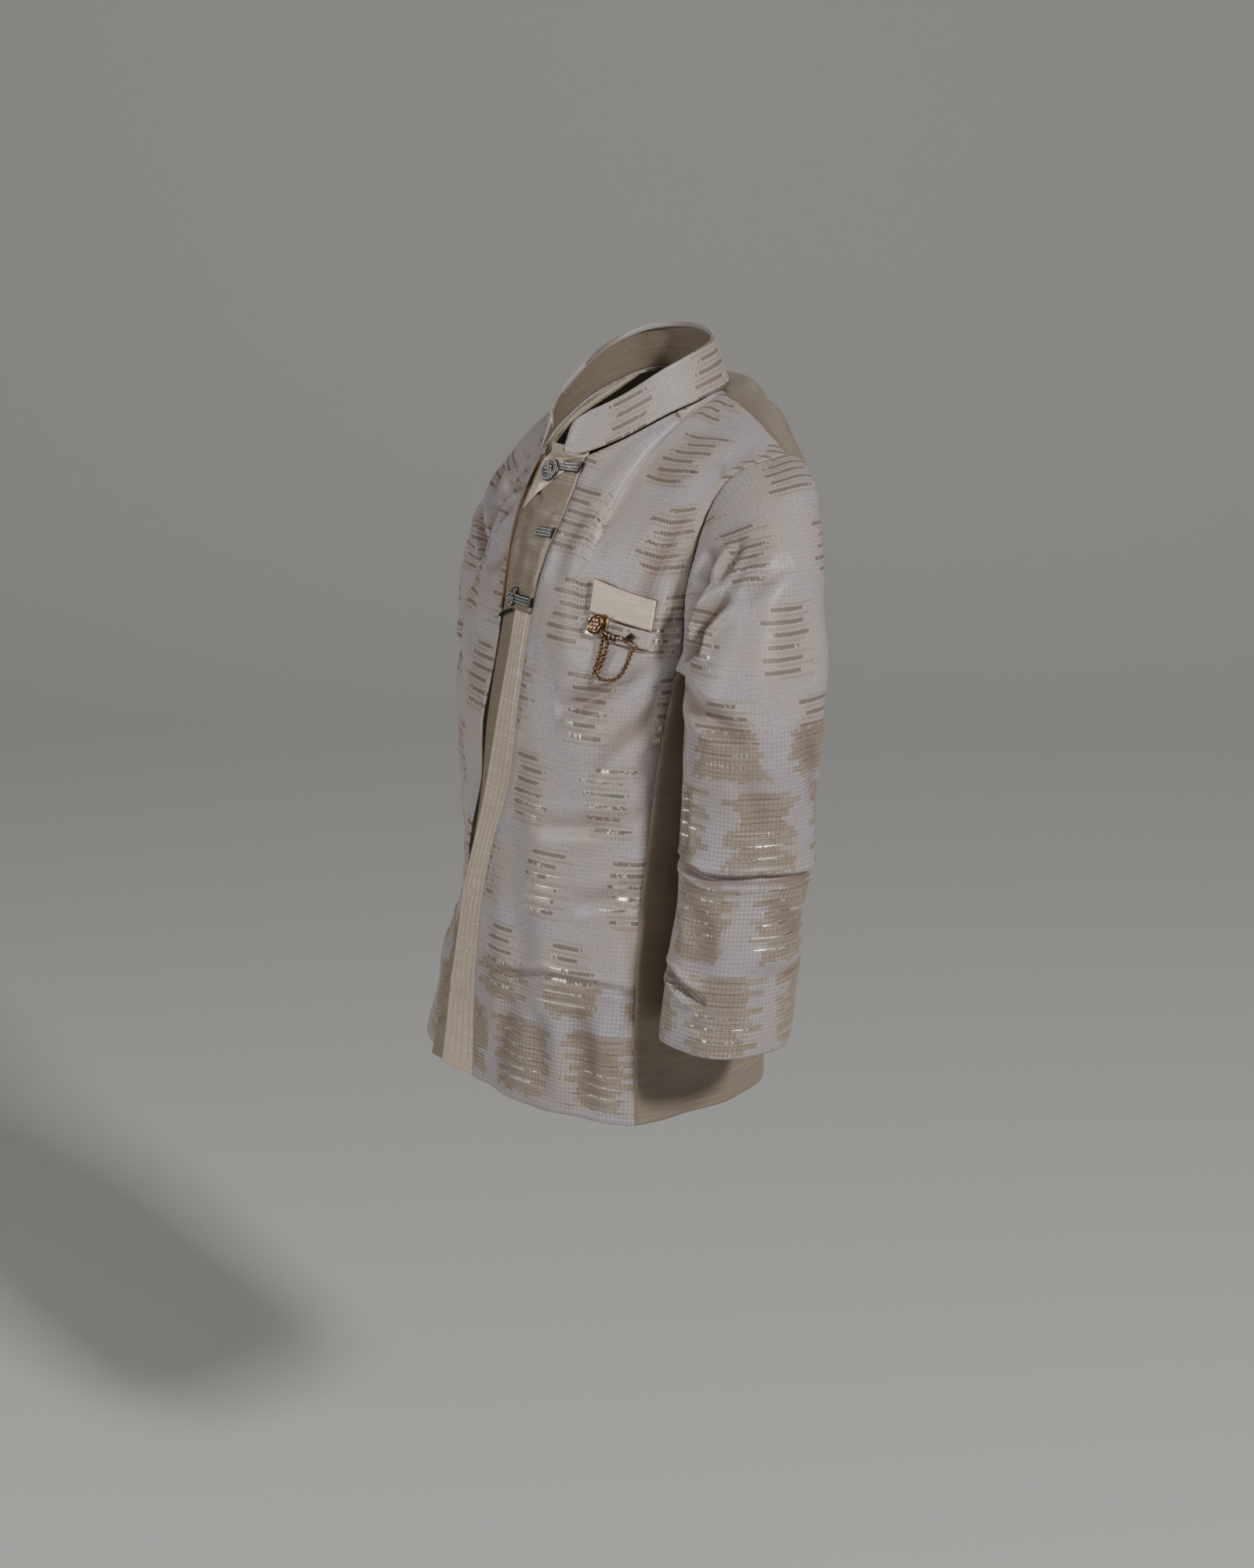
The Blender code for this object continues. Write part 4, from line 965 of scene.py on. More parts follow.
# %% Brocade: colours of the ground
# Weft lines of the satin are noise drawn out along the threads, about 1 mm apart so that they show
stretch = add(tree, "ShaderNodeMapping", {0: place, 3: (90.0, 900.0, 1.0)})
weft = add(tree, NOISE, {"Vector": stretch, "Scale": 1.0, "Detail": 2.0})
cloud = add(tree, NOISE, {"Vector": place, "Scale": 17.0, "Detail": 3.0})
grain = add(tree, NOISE, {"Vector": place, "Scale": 520.0, "Detail": 1.0})
mottle = add(tree, MATH, {0: grain, 1: weft}, operation="ADD")
mottle = add(tree, MATH, {0: mottle, 1: 1.1, 2: -0.6}, operation="MULTIPLY_ADD")
satin = add(tree, MIX, {0: mottle, 6: linear("#8C8689"), 7: linear("#B9B2B6")}, **OF_COLOURS)
warmth = add(tree, RANGE, {0: cloud, 1: 0.42, 2: 0.66, 3: 0.0, 4: 0.7})
satin = add(tree, MIX, {0: warmth, 6: satin, 7: linear("#A99A8D")}, **OF_COLOURS)
faint = add(tree, MATH, {0: halo, 1: 0.42}, operation="MULTIPLY")
ground = add(tree, MIX, {0: faint, 6: satin, 7: linear("#AA9B8B")}, **OF_COLOURS)
# Painted shade: where the blocks show, the ground is darkened a third of the way towards a darker grey.
deep = add(tree, MATH, {0: away_from_light, 1: 0.34}, operation="MULTIPLY")
ground = add(tree, MIX, {0: deep, 6: ground, 7: linear("#857D81")}, **OF_COLOURS)
beige = add(tree, MIX, {0: weft, 6: linear("#72665C"), 7: linear("#998A7C")}, **OF_COLOURS)
worn = add(tree, NOISE, {"Vector": place, "Scale": 60.0, "Detail": 2.0})
worn = add(tree, RANGE, {0: worn, 1: 0.35, 2: 0.6, 3: 0.6, 4: 1.0})
woven_block = add(tree, MATH, {0: block_away_from_light, 1: worn}, operation="MULTIPLY")
ground = add(tree, MIX, {0: woven_block, 6: ground, 7: beige}, **OF_COLOURS)
dot_colour = add(tree, MIX, {0: block_away_from_light, 6: linear("#C6BFC3"), 7: linear("#C9BCA8")}, **OF_COLOURS)
ground = add(tree, MIX, {0: dots, 6: ground, 7: dot_colour}, **OF_COLOURS)
print("ground", len(tree.nodes), "nodes so far")

# %% Brocade: thread, painted glint, painted crease shade and relief
# The metal thread is a diffuse dark taupe, which stands in for the dark reflections of metal thread:
# painted reflection. Patches of it carry a painted glint of pale silvery cream, set more below the
# chest than above it and metallic there. Deep in a crease the cloth is painted brown: painted shade.
patch = add(tree, NOISE, {"Vector": place, "Scale": 24.0, "Detail": 2.0})
painted_glint = add(tree, MATH, {0: tick_chance, 1: 0.20, 2: patch}, operation="MULTIPLY_ADD")
# Painted glint: more of it lower on the coat and on the lower bars of each stack.
lower = add(tree, RANGE, {0: v, 1: -0.11, 2: -0.24, 3: -0.09, 4: 0.05})
painted_glint = add(tree, MATH, {0: painted_glint, 1: lower}, operation="ADD")
lower_bars = add(tree, RANGE, {0: within, 1: 0.1, 2: 0.6, 3: -0.05, 4: 0.03})
painted_glint = add(tree, MATH, {0: painted_glint, 1: lower_bars}, operation="ADD")
painted_glint = add(tree, RANGE, {0: painted_glint, 1: 0.68, 2: 0.72})
shade = add(tree, RANGE, {0: in_tick, 1: 0.35, 2: 0.65})
thread = add(tree, MIX, {0: shade, 6: linear("#665A53"), 7: linear("#867A71")}, **OF_COLOURS)
glint_colour = add(tree, MIX, {0: shade, 6: linear("#FFFBF2"), 7: linear("#DACFBC")}, **OF_COLOURS)
thread = add(tree, MIX, {0: painted_glint, 6: thread, 7: glint_colour}, **OF_COLOURS)
faded = add(tree, MATH, {0: ticks, 1: 0.62}, operation="MULTIPLY")
colour = add(tree, MIX, {0: faded, 6: ground, 7: linear("#7D6F65")}, **OF_COLOURS)
woven_in = add(tree, MATH, {0: main, 1: 0.92}, operation="MULTIPLY")
colour = add(tree, MIX, {0: woven_in, 6: colour, 7: thread}, **OF_COLOURS)
# Painted shade: deep in a crease the colour is mixed up to 72 per cent towards brown.
tone = add(tree, "ShaderNodeAttribute", output=2, attribute_name="tone")
tone = add(tree, MATH, {0: tone, 1: 0.72}, operation="MULTIPLY")
colour = add(tree, MIX, {0: tone, 6: colour, 7: linear("#6B5040")}, **OF_COLOURS)
metal = add(tree, MATH, {0: main, 1: painted_glint}, operation="MULTIPLY")
gloss = add(tree, RANGE, {0: metal, 1: 0.0, 2: 1.0, 3: 0.44, 4: 0.30})
raised = add(tree, MATH, {0: main, 1: ticks}, operation="ADD")
raised = add(tree, MATH, {0: dots, 1: 0.6, 2: raised}, operation="MULTIPLY_ADD")
raised = add(tree, MATH, {0: weft, 1: 0.35, 2: raised}, operation="MULTIPLY_ADD")
relief = add(tree, "ShaderNodeBump", {"Strength": 0.5, "Distance": 0.0004, "Height": raised})
fill(shader, Base_Color=colour, Metallic=metal, Roughness=gloss, Normal=relief)
print("brocade", len(tree.nodes), "nodes")

# %% [markdown]
# ## Raw silk
# The back, the collar's lining and the closure strips are dupion: silk with uneven weft threads
# that show as long slubs across the cloth, with a dry, pearly shine. Two noises drawn out along
# the weft give it: a fine one for every thread, and a sparse one for the thick slubs. The threads
# are drawn about 1 mm apart, coarser than real ones, so that they show. The coat's inside is a
# plain cream lining with a faint twill.

# %% Dupion silk
silk, tree, shader = finish_named(
    "Champagne dupion silk", Roughness=0.40, Sheen_Weight=0.15, Sheen_Roughness=0.35
)
place = add(tree, "ShaderNodeUVMap", uv_map="cut")
stretch = add(tree, "ShaderNodeMapping", {0: place, 3: (35.0, 1000.0, 1.0)})
threads = add(tree, NOISE, {"Vector": stretch, "Scale": 1.0, "Detail": 3.0})
stretch = add(tree, "ShaderNodeMapping", {0: place, 3: (16.0, 420.0, 1.0)})
slubs = add(tree, NOISE, {"Vector": stretch, "Scale": 1.0, "Detail": 1.0})
thick = add(tree, RANGE, {0: slubs, 1: 0.58, 2: 0.72})
stretch = add(tree, "ShaderNodeMapping", {0: place, 3: (900.0, 22.0, 1.0)})
warp = add(tree, NOISE, {"Vector": stretch, "Scale": 1.0, "Detail": 2.0})
cloud = add(tree, NOISE, {"Vector": place, "Scale": 11.0, "Detail": 2.0})
woven = add(tree, MATH, {0: warp, 1: 0.35, 2: -0.175}, operation="MULTIPLY_ADD")
woven = add(tree, MATH, {0: threads, 1: woven}, operation="ADD")
colour = add(tree, MIX, {0: woven, 6: linear("#766A5E"), 7: linear("#9A8C7B")}, **OF_COLOURS)
pale = add(tree, MATH, {0: thick, 1: 0.35}, operation="MULTIPLY")
colour = add(tree, MIX, {0: pale, 6: colour, 7: linear("#AEA08D")}, **OF_COLOURS)
tone = add(tree, RANGE, {0: cloud, 1: 0.35, 2: 0.7, 3: 0.0, 4: 0.35})
colour = add(tree, MIX, {0: tone, 6: colour, 7: linear("#6B5D50")}, **OF_COLOURS)
raised = add(tree, MATH, {0: thick, 1: 1.2, 2: threads}, operation="MULTIPLY_ADD")
relief = add(tree, "ShaderNodeBump", {"Strength": 0.22, "Distance": 0.0003, "Height": raised})
fill(shader, Base_Color=colour, Normal=relief)
print("silk", len(tree.nodes), "nodes")

# %% Ivory silk of the band, the pocket square and the facing
# The same weave, lighter and slightly cooler: every colour of it times these shares
IVORY_SHARES = (2.40, 2.45, 2.62)
ivory_silk = silk.copy()
ivory_silk.name = "Ivory dupion silk"
for node in ivory_silk.node_tree.nodes:
    if node.bl_idname == MIX and not node.inputs[7].is_linked:
        for number in (6, 7):
            shade = np.array(node.inputs[number].default_value[:3]) * IVORY_SHARES
            node.inputs[number].default_value = (*shade.tolist(), 1.0)
print("ivory", len(ivory_silk.node_tree.nodes), "nodes")


# %% Lining
def grained(name, codes, noise, stretch=(1.0, 1.0, 1.0), turn=0.0, dull=None, bump=None, **sockets):
    """A finish that wanders between two colours with a noise on the piece's own coordinates.

    noise is its scale and detail, drawn out by stretch and turned about Y. dull gives the part of
    the noise, from and to, over which the roughness runs from its third to its fourth number, and
    bump the strength of the noise's relief.
    """
    material, tree, shader = finish_named(name, **sockets)
    place = add(tree, "ShaderNodeTexCoord", output=3)
    place = add(tree, "ShaderNodeMapping", {0: place, 2: (0.0, turn, 0.0), 3: stretch})
    grain = add(tree, NOISE, {"Vector": place, "Scale": noise[0], "Detail": noise[1]})
    ends = [linear(code) for code in codes]
    fill(shader, Base_Color=add(tree, MIX, {0: grain, 6: ends[0], 7: ends[1]}, **OF_COLOURS))
    if dull:
        fill(shader, Roughness=add(tree, RANGE, {0: grain, **dict(enumerate(dull, 1))}))
    if bump:
        relief = add(tree, "ShaderNodeBump", {"Strength": bump, "Distance": 0.0002, "Height": grain})
        fill(shader, Normal=relief)
    return material


CREAM = ("#8C8272", "#A89D8A")
TWILL = (500.0, 500.0, 900.0)
lining_cloth = grained(
    "Cream lining twill", CREAM, (1.0, 1.0), TWILL, bump=0.2, Roughness=0.5, Sheen_Weight=0.1
)
print("lining", len(lining_cloth.node_tree.nodes), "nodes")

# %% [markdown]
# ## Fronts
# Each front is one panel of brocade from the closure to the side seam, shaped over the shoulder.
# Sewn edges dip so that neighbours meet in a seam line, and the hem and closure edge stay free.


# %% The two fronts
def smooth_step(value, start, end):
    """Rises from 0 at start to 1 at end along a cubic."""
    t = np.clip((value - start) / (end - start), 0.0, 1.0)
    return t * t * (3 - 2 * t)


LEFT_FRONT_CREASES = [
    # route on the cut in mm, half width, depth
    ([(4, -434), (50, -428), (94, -419), (137, -421), (170, -424), (200, -421)], 3.4, 2.0),
    ([(128, -52), (121, -92), (124, -135), (131, -165)], 8.0, 3.0),
    ([(150, -70), (142, -104), (146, -140)], 7.0, 2.2),
    ([(160, -170), (132, -192), (104, -208), (80, -214)], 7.5, 2.6),
    ([(172, -200), (142, -232), (118, -262)], 8.0, 2.4),
    ([(176, -280), (130, -298), (70, -306)], 7.0, 1.6),
    ([(60, -58), (52, -90), (58, -126)], 10.0, 1.6),
    ([(182, -330), (150, -350), (112, -360)], 7.0, 2.0),
    ([(60, -446), (53, -480), (50, -520)], 10.0, 2.4),
    ([(126, -440), (134, -475), (140, -522)], 11.0, 3.0),
    ([(92, -452), (94, -484), (98, -520)], 9.0, 1.8),
    ([(166, -372), (172, -410), (168, -450)], 9.0, 2.0),
    ([(70, -12), (88, -22), (112, -26)], 7.0, 1.4),
    # drag lines beside the sleeve head
    ([(120, -2), (138, -12), (154, -24)], 4.0, 1.5),
    ([(130, 4), (146, -6), (160, -16)], 3.6, 1.5),
    ([(138, 9), (152, -1), (165, -10)], 3.4, 1.3),
]
RIGHT_FRONT_CREASES = [
    ([(14, -436), (60, -428), (120, -420), (200, -424)], 3.4, 2.0),
    ([(24, -76), (40, -88), (58, -102), (78, -106)], 5.0, 2.8),
    ([(20, -58), (40, -66), (62, -80)], 4.5, 2.4),
    ([(14, -110), (30, -124), (52, -130)], 5.0, 1.8),
    ([(96, -150), (92, -185), (97, -215)], 6.5, 2.8),
    ([(120, -60), (116, -100), (122, -140)], 8.0, 2.6),
    ([(150, -172), (128, -200), (92, -214)], 7.5, 2.6),
    ([(160, -296), (112, -312), (66, -310)], 7.0, 1.8),
    ([(70, -445), (64, -480), (60, -522)], 10.0, 2.4),
    ([(130, -440), (134, -476), (136, -522)], 10.0, 2.6),
    ([(160, -350), (140, -364), (108, -368)], 7.0, 2.0),
]
MIDDLE = (0, -0.03)
FRONTS = [
    # node, surface, cut, creases, seed, sewn edges, which way its normals point
    ("left_front", left_surface, left_cut, LEFT_FRONT_CREASES, 11, ["first", "top", "last"], 1.0),
    ("right_front", settled(right_surface), right_cut, RIGHT_FRONT_CREASES, 12, ["top", "last"], -1.0),
]
front_shapes = {}
for node, surface, cut, creases, seed, seams, outward in FRONTS:
    front_shapes[node] = folded(surface, cut, creases, seed, seams, outward=outward)
    # The blocks attribute is 1 below the packing crease: the brocade there is painted as turned from the
    # light, with its blocks shown and a darker ground.
    low = smooth_step(cut[..., 1], -0.400, -0.440)
    finish = {"blocks": low, "inside": lining_cloth, "tone": painted_crease_shade(cut, creases)}
    front = cloth(node + "_cloth", front_shapes[node], cut, brocade, [node], MIDDLE, **finish)
left_shape = front_shapes["left_front"]

# %% [markdown]
# ## Back
# The back is one width of plain silk. Nobody sees it in a shop window, but it still carries the
# wearer's drag lines: from the armholes towards the middle, and the same packing crease low down.

# %% The back
BACK_CREASES = [
    ([(-186, -424), (-110, -420), (0, -430), (100, -421), (186, -424)], 3.6, 2.4),
    ([(-150, -160), (-118, -190), (-84, -206)], 8.0, 2.2),
    ([(150, -160), (118, -190), (80, -212)], 8.0, 2.0),
    ([(-140, -100), (-104, -112), (-66, -112)], 8.0, 1.6),
    ([(140, -96), (100, -106), (60, -110)], 8.0, 1.8),
    ([(-30, -250), (-24, -320), (-34, -400)], 12.0, 2.0),
    ([(40, -230), (46, -300), (38, -380)], 12.0, 2.2),
    ([(-120, -300), (-80, -318), (-40, -312)], 7.0, 1.4),
    ([(-90, -440), (-96, -480), (-100, -522)], 10.0, 2.2),
    ([(80, -440), (88, -480), (92, -522)], 10.0, 2.2),
    ([(0, -445), (4, -480), (6, -522)], 11.0, 1.8),
]
BACK_FINE_ROWS = 10
back_steps = [BACK_FINE_ROWS] * BODY_ROWS + [6] * YOKE_ROWS
back_surface = finer(back_net(), back_steps, [FINE_COLUMNS] * (2 * BACK_HALF_COLUMNS))
back_surface = eased(back_surface, BACK_FINE_ROWS * BODY_ROWS + 3, 10)
back_cut = strip_cut(back_surface)
middle_column = back_surface.shape[1] // 2
back_cut[..., 0] = -(back_cut[..., 0] - back_cut[:, middle_column : middle_column + 1, 0])
back_cut[..., 1] += HEM_Z
back_surface = settled(back_surface)
back_shape = folded(back_surface, back_cut, BACK_CREASES, 13, ["first", "last", "top"])
back = cloth("back_cloth", back_shape, back_cut, silk, ["back"], MIDDLE, inside=lining_cloth)

# %% [markdown]
# ## Sleeves
# A set-in sleeve is a tube whose head is eased into the armhole. With the arm hanging, cloth
# bunches in front of the armpit and a packed crease runs round below the elbow.

# %% The two sleeves
FINE_CAP_ROWS = 8
SLEEVE_STEPS = [FINE_CAP_ROWS] * CAP_ROWS + [11] * SLEEVE_ROWS
CAP_LEVEL = FINE_CAP_ROWS * CAP_ROWS
LEFT_SLEEVE_CREASES = [
    # packed crease round below the elbow, and its echo near the cuff
    ([(-30, -311), (-4, -313), (20, -318), (64, -317), (110, -321), (160, -316)], 3.4, 4.2),
    ([(-24, -394), (-6, -398), (12, -407), (30, -413)], 4.0, 4.0),
    ([(60, -386), (96, -392), (130, -388)], 6.0, 1.6),
    # bunching in front of the armpit
    ([(29, -58), (18, -76), (10, -91), (-6, -116), (-24, -140)], 6.5, 5.6),
    ([(52, -61), (35, -81), (18, -97)], 4.5, 3.2),
    ([(36, -104), (21, -115), (5, -130), (0, -148), (-14, -156), (-44, -160)], 4.6, 6.0),
    ([(84, -84), (66, -96), (50, -112)], 6.0, 2.0),
    ([(-34, -182), (-10, -190), (24, -200), (52, -214)], 8.0, 3.0),
    # slow folds down the arm
    ([(-6, -252), (-9, -280), (-5, -306)], 5.0, 3.0),
    ([(90, -200), (108, -236), (112, -270)], 12.0, 2.4),
    ([(46, -236), (58, -262), (62, -292)], 10.0, 1.8),
    ([(70, -334), (92, -352), (124, -362)], 8.0, 2.2),
    ([(150, -250), (176, -270), (200, -300)], 9.0, 2.6),
    ([(180, -340), (205, -352), (230, -350)], 8.0, 2.2),
    ([(10, -340), (24, -366), (22, -394)], 10.0, 2.2),
    ([(150, -120), (170, -150), (196, -176)], 9.0, 3.0),
    ([(190, -110), (206, -140), (222, -160)], 7.0, 3.2),
]
RIGHT_SLEEVE_CREASES = [
    ([(-30, -316), (40, -322), (90, -318), (150, -322), (190, -318)], 3.6, 3.4),
    ([(30, -62), (12, -90), (-6, -114), (-22, -138)], 6.5, 5.0),
    ([(50, -64), (34, -82), (16, -99)], 5.0, 2.8),
    ([(34, -106), (18, -118), (2, -134), (-14, -154), (-40, -160)], 5.0, 5.0),
    ([(40, -168), (66, -180), (96, -176)], 7.0, 2.2),
    ([(90, -210), (110, -236), (116, -262)], 12.0, 2.4),
    ([(60, -380), (92, -396), (128, -400)], 7.0, 2.2),
    ([(150, -120), (170, -150), (196, -176)], 9.0, 3.0),
    ([(150, -260), (176, -282), (200, -300)], 8.0, 2.2),
    ([(-20, -220), (-10, -250), (-16, -284)], 9.0, 2.2),
]
SLEEVES = [("left", 1, LEFT_SLEEVE_CREASES, 14), ("right", -1, RIGHT_SLEEVE_CREASES, 15)]
for name, side, creases, seed in SLEEVES:
    surface = finer(sleeve_net(side), SLEEVE_STEPS, [FINE_COLUMNS] * SLEEVE_SIDES, closed=True)
    surface = eased(surface, 2, 4, closed=True)
    cut = sleeve_cut(surface, CAP_LEVEL)
    shape = folded(surface, cut, creases, seed, ["bottom"], outward=-side, slow=0.0013)
    # The blocks attribute is 1 below the sleeve head: painted as cloth turned from the light, as on the
    # fronts.
    low = smooth_step(cut[:, :-1, 1], -0.190, -0.225)
    finish = {"inside": lining_cloth, "tone": painted_crease_shade(cut[:, :-1], creases)}
    node, axis = name + "_sleeve", (0.2 * side, -0.02)
    sleeve = cloth(node + "_cloth", shape, cut, brocade, [node], axis, low, **finish)

# %% [markdown]
# ## Collar
# The stand collar is brocade outside and silk inside, stitched together along the top, so its
# upper edge is a soft roll of cloth. The net climbs the outside, turns over in a half circle and
# goes a little way down inside, and the lining fills the rest.

# %% Collar and its lining
COLLAR_COLUMNS = 34
COLLAR_HEIGHT = 0.036


def collar_base():
    """Base ring, height and lean of the collar, from its left front end round to its right one."""
    left = np.vstack([COLLAR_FRONT, NECKLINE_FRONT, SIDE_NECK, NECKLINE_BACK])
    base = curve_through(np.vstack([left, CENTRE_BACK_NECK, mirrored(left)[::-1]]), 8 * COLLAR_COLUMNS + 1)
    share = np.abs(np.linspace(-1.0, 1.0, len(base)))
    base[:, 2] += 0.003 * smooth_step(share, 0.93, 1.0)
    height = COLLAR_HEIGHT - 0.006 * share**2
    corner = np.clip((share - 0.90) / 0.10, 0.0, 1.0)
    height = height * np.sqrt(1 - 0.75 * corner**2)
    behind = np.clip(base[:, 1:2] / CENTRE_BACK_NECK[1], 0.0, 1.0)
    lean = base * [1.0, 1.0, 0.0] * (0.08 + 0.12 * behind)
    outward = base * [1.0, 1.0, 0.0]
    return base, height, lean, outward / np.linalg.norm(outward, axis=1)[:, None]


def collar_shape(out, top, roll=0.0):
    """Rows up the stand at a distance out from its middle, then a half circle of radius roll inwards."""
    base, height, lean, outward = collar_base()
    share = np.linspace(0.0, top, 19)[:, None, None]
    up = (0.0013 + height[:, None] * share) * [0.0, 0.0, 1.0]
    rows = base + outward * out + up - lean * share
    if roll == 0.0:
        return rows
    turn = np.linspace(0.0, np.pi, 7)[1:, None, None]
    over = rows[-1] + (np.cos(turn) - 1) * roll * outward + np.sin(turn) * [0.0, 0.0, roll]
    down = over[-1] - np.array([0.001, 0.003])[:, None, None] * [0.0, 0.0, 1.0]
    return np.vstack([rows, over, down])


ROLL = 0.0014
outer = collar_shape(0.0003, 1.0 - ROLL / COLLAR_HEIGHT, ROLL)
collar_cut = strip_cut(outer) + [-0.0325, -0.0172]
collar = cloth("collar_cloth", outer, collar_cut, brocade, ["collar"], (0, 0), thickness=THIN_CLOTH)
inner = collar_shape(-0.0008, 0.97)
lining = cloth(
    "collar_lining_cloth", inner, strip_cut(inner), silk, ["collar_lining"], (0, 0), thickness=THIN_CLOTH
)

# %% [markdown]
# ## Closure strips
# Under the fastenings lies a placket of silk, and below the last button it turns into a band
# with rows of topstitching and a loose panel behind it. Each is a strip between two edges whose
# X is known at every height, laid on the fronts and swung forward where the band flares.


# %% Placket, band and panel
def neckline_z(x):
    """Height of the neckline over the closure, a shallow parabola."""
    return NECKLINE_FRONT_Z - NECKLINE_DIP * (1 - (x / NECK_CORNER_X) ** 2)


def placket_end_z(x):
    """Lower end of the placket, slanting down towards the right front."""
    share = np.clip((0.011 - x) / 0.025, 0.0, 1.0)
    return -0.1520 - 0.011 * share**1.5


FLARE_TABLE = np.array([
    # z, how far the free edge swings forward
    [-0.527, 0.0075],
    [-0.450, 0.0065],
    [-0.400, 0.0052],
    [-0.370, 0.0035],
    [-0.335, 0.0010],
    [-0.310, 0.0],
    [-0.150, 0.0],
])
PANEL_EDGE_TABLE = np.array([
    # z, x of the panel's free edge below the right front's edge
    [-0.527, -0.056],
    [-0.480, -0.049],
    [-0.430, -0.035],
    [-0.400, -0.0245],
    [-0.385, -0.0180],
])


def flare(x, z):
    """How far a strip swings forward: the table's value at its free edge, down to none at its seam."""
    _, band_edge, seam = along(CLOSURE_TABLE, z)
    return along(FLARE_TABLE, z)[0] * np.maximum(0.0, (seam - x) / (seam - band_edge))


def strip_surface(edges, ends, rows, columns, forward):
    """Rows between the two ends and columns between the two edges, on the fronts' surface.

    The X and Z of a point depend on each other, so each is worked out from the other in turn.
    """
    up = np.linspace(0.0, 1.0, rows + 1)[:, None]
    out = np.linspace(0.0, 1.0, columns + 1)[None, :]
    x = np.zeros(out.shape)
    for turn in range(5):
        low, high = ends(x)
        z = low * (1 - up) + high * up
        if turn < 4:
            left, right = edges(z)
            x = left * (1 - out) + right * out
    return np.stack([x, front_y(x, z) - forward(x, z), z], axis=-1)


def placket_edges(z):
    """The placket's X at each height: from the right front's edge to the left front's seam."""
    right_edge, _, seam = along(CLOSURE_TABLE, z)
    return right_edge + 0.0006, seam - 0.0002


def placket_ends(x):
    """The placket's lower and upper end at each X."""
    return placket_end_z(x), neckline_z(x)


def band_edges(z):
    """The band's X at each height: from its free edge to the left front's seam."""
    _, band_edge, seam = along(CLOSURE_TABLE, z)
    return band_edge, seam - 0.0002


def band_ends(x):
    """The band runs level from the hem up to just under the placket's end."""
    return HEM_Z + 0 * x, -0.1525 + 0 * x


def panel_edges(z):
    """The panel's X at each height: from its free edge to a little way behind the band."""
    right_edge, band_edge, _ = along(CLOSURE_TABLE, z)
    free = along(PANEL_EDGE_TABLE, z)[0]
    return np.where(z > PANEL_EDGE_TABLE[-1, 0], right_edge + 0.0008, free), band_edge + 0.008


def panel_ends(x):
    """The panel runs level from just above the hem up behind the placket's end."""
    return HEM_Z + 0.001 + 0 * x, -0.1480 + 0 * x


placket_surface = strip_surface(placket_edges, placket_ends, 84, 24, lambda x, z: 0.0 * x)
band_surface = strip_surface(band_edges, band_ends, 190, 18, flare)
panel_surface = strip_surface(panel_edges, panel_ends, 190, 20, lambda x, z: flare(x, z) - 0.0021)
BAND_ROWS_AT = (0.14, 0.38, 0.62, 0.86)
GROOVE_WIDTH = 0.075
GROOVE_DEPTH = 0.0012


def grooved(surface, shares):
    """Soft channels up a strip, each a Gaussian trough at its share of the width."""
    across = np.linspace(0.0, 1.0, surface.shape[1])[None, :]
    total = np.zeros(across.shape)
    for share in shares:
        total += np.exp(-(((across - share) / GROOVE_WIDTH) ** 2))
    return surface - forward_normals(surface) * (GROOVE_DEPTH * total)[..., None]


PLACKET_CREASES = [
    ([(0, 104), (10, 98), (24, 84)], 3.0, 1.2),
    ([(6, 74), (20, 70), (40, 72)], 4.0, 0.8),
    ([(2, 40), (14, 46), (30, 44)], 5.0, 0.8),
    ([(10, 10), (14, 40), (12, 80)], 5.0, 0.7),
]
BAND_CREASES = [
    ([(2, 140), (12, 150), (26, 150)], 5.0, 0.9),
    ([(0, 60), (14, 70), (34, 66)], 6.0, 1.2),
    ([(2, 98), (16, 106), (38, 100)], 4.0, 1.0),
]
PANEL_CREASES = [
    ([(2, 66), (12, 92), (8, 130)], 5.0, 1.6),
    ([(0, 30), (10, 42), (20, 40)], 5.0, 1.6),
    ([(0, 96), (8, 104), (16, 100)], 4.0, 1.4),
    ([(4, 180), (8, 230), (6, 300)], 4.0, 0.8),
]
band_surface = grooved(settled(band_surface), BAND_ROWS_AT)
STRIPS = [
    # name, node, surface, silk, creases, sewn edges, thickness
    ("placket_cloth", "placket", settled(placket_surface), silk, PLACKET_CREASES, ["last"], 0.0012),
    ("band_cloth", "topstitched_band", band_surface, ivory_silk, BAND_CREASES, ["last"], 0.0012),
    ("panel_cloth", "centre_panel", settled(panel_surface), silk, PANEL_CREASES, [], 0.0010),
]
strip_shapes = {}
for name, node, surface, woven, creases, seams, thickness in STRIPS:
    cut = strip_cut(surface)
    strip_shapes[name] = folded(surface, cut, creases, 21 + len(name), seams, slow=0.0004)
    strip = cloth(name, strip_shapes[name], cut, woven, [node], MIDDLE, thickness=thickness)
band_shape = strip_shapes["band_cloth"]

# %% Turned-back facing under the collar and the top button
FACING_TABLE = np.array([
    # z, left edge, right edge
    [-0.0780, -0.0048, -0.0036],
    [-0.0660, -0.0048, 0.0058],
    [-0.0580, -0.0052, 0.0120],
    [-0.0520, -0.0056, 0.0180],
    [-0.0460, -0.0062, 0.0240],
    [-0.0400, -0.0070, 0.0295],
    [-0.0300, -0.0085, 0.0310],
])
NECK_BEND_Z = -0.0370
z = np.linspace(FACING_TABLE[0, 0], FACING_TABLE[-1, 0], 73)[:, None]
left_edge, right_edge = along(FACING_TABLE, z)
x = left_edge + (right_edge - left_edge) * np.linspace(0.0, 1.0, 37)[None, :]
out = 0.0012 - 0.0040 * smooth_step(z, -0.0440, NECK_BEND_Z)
y = front_y(x, np.minimum(z, NECK_BEND_Z) + 0 * x) - out + 0.2 * np.maximum(z - NECK_BEND_Z, 0.0)
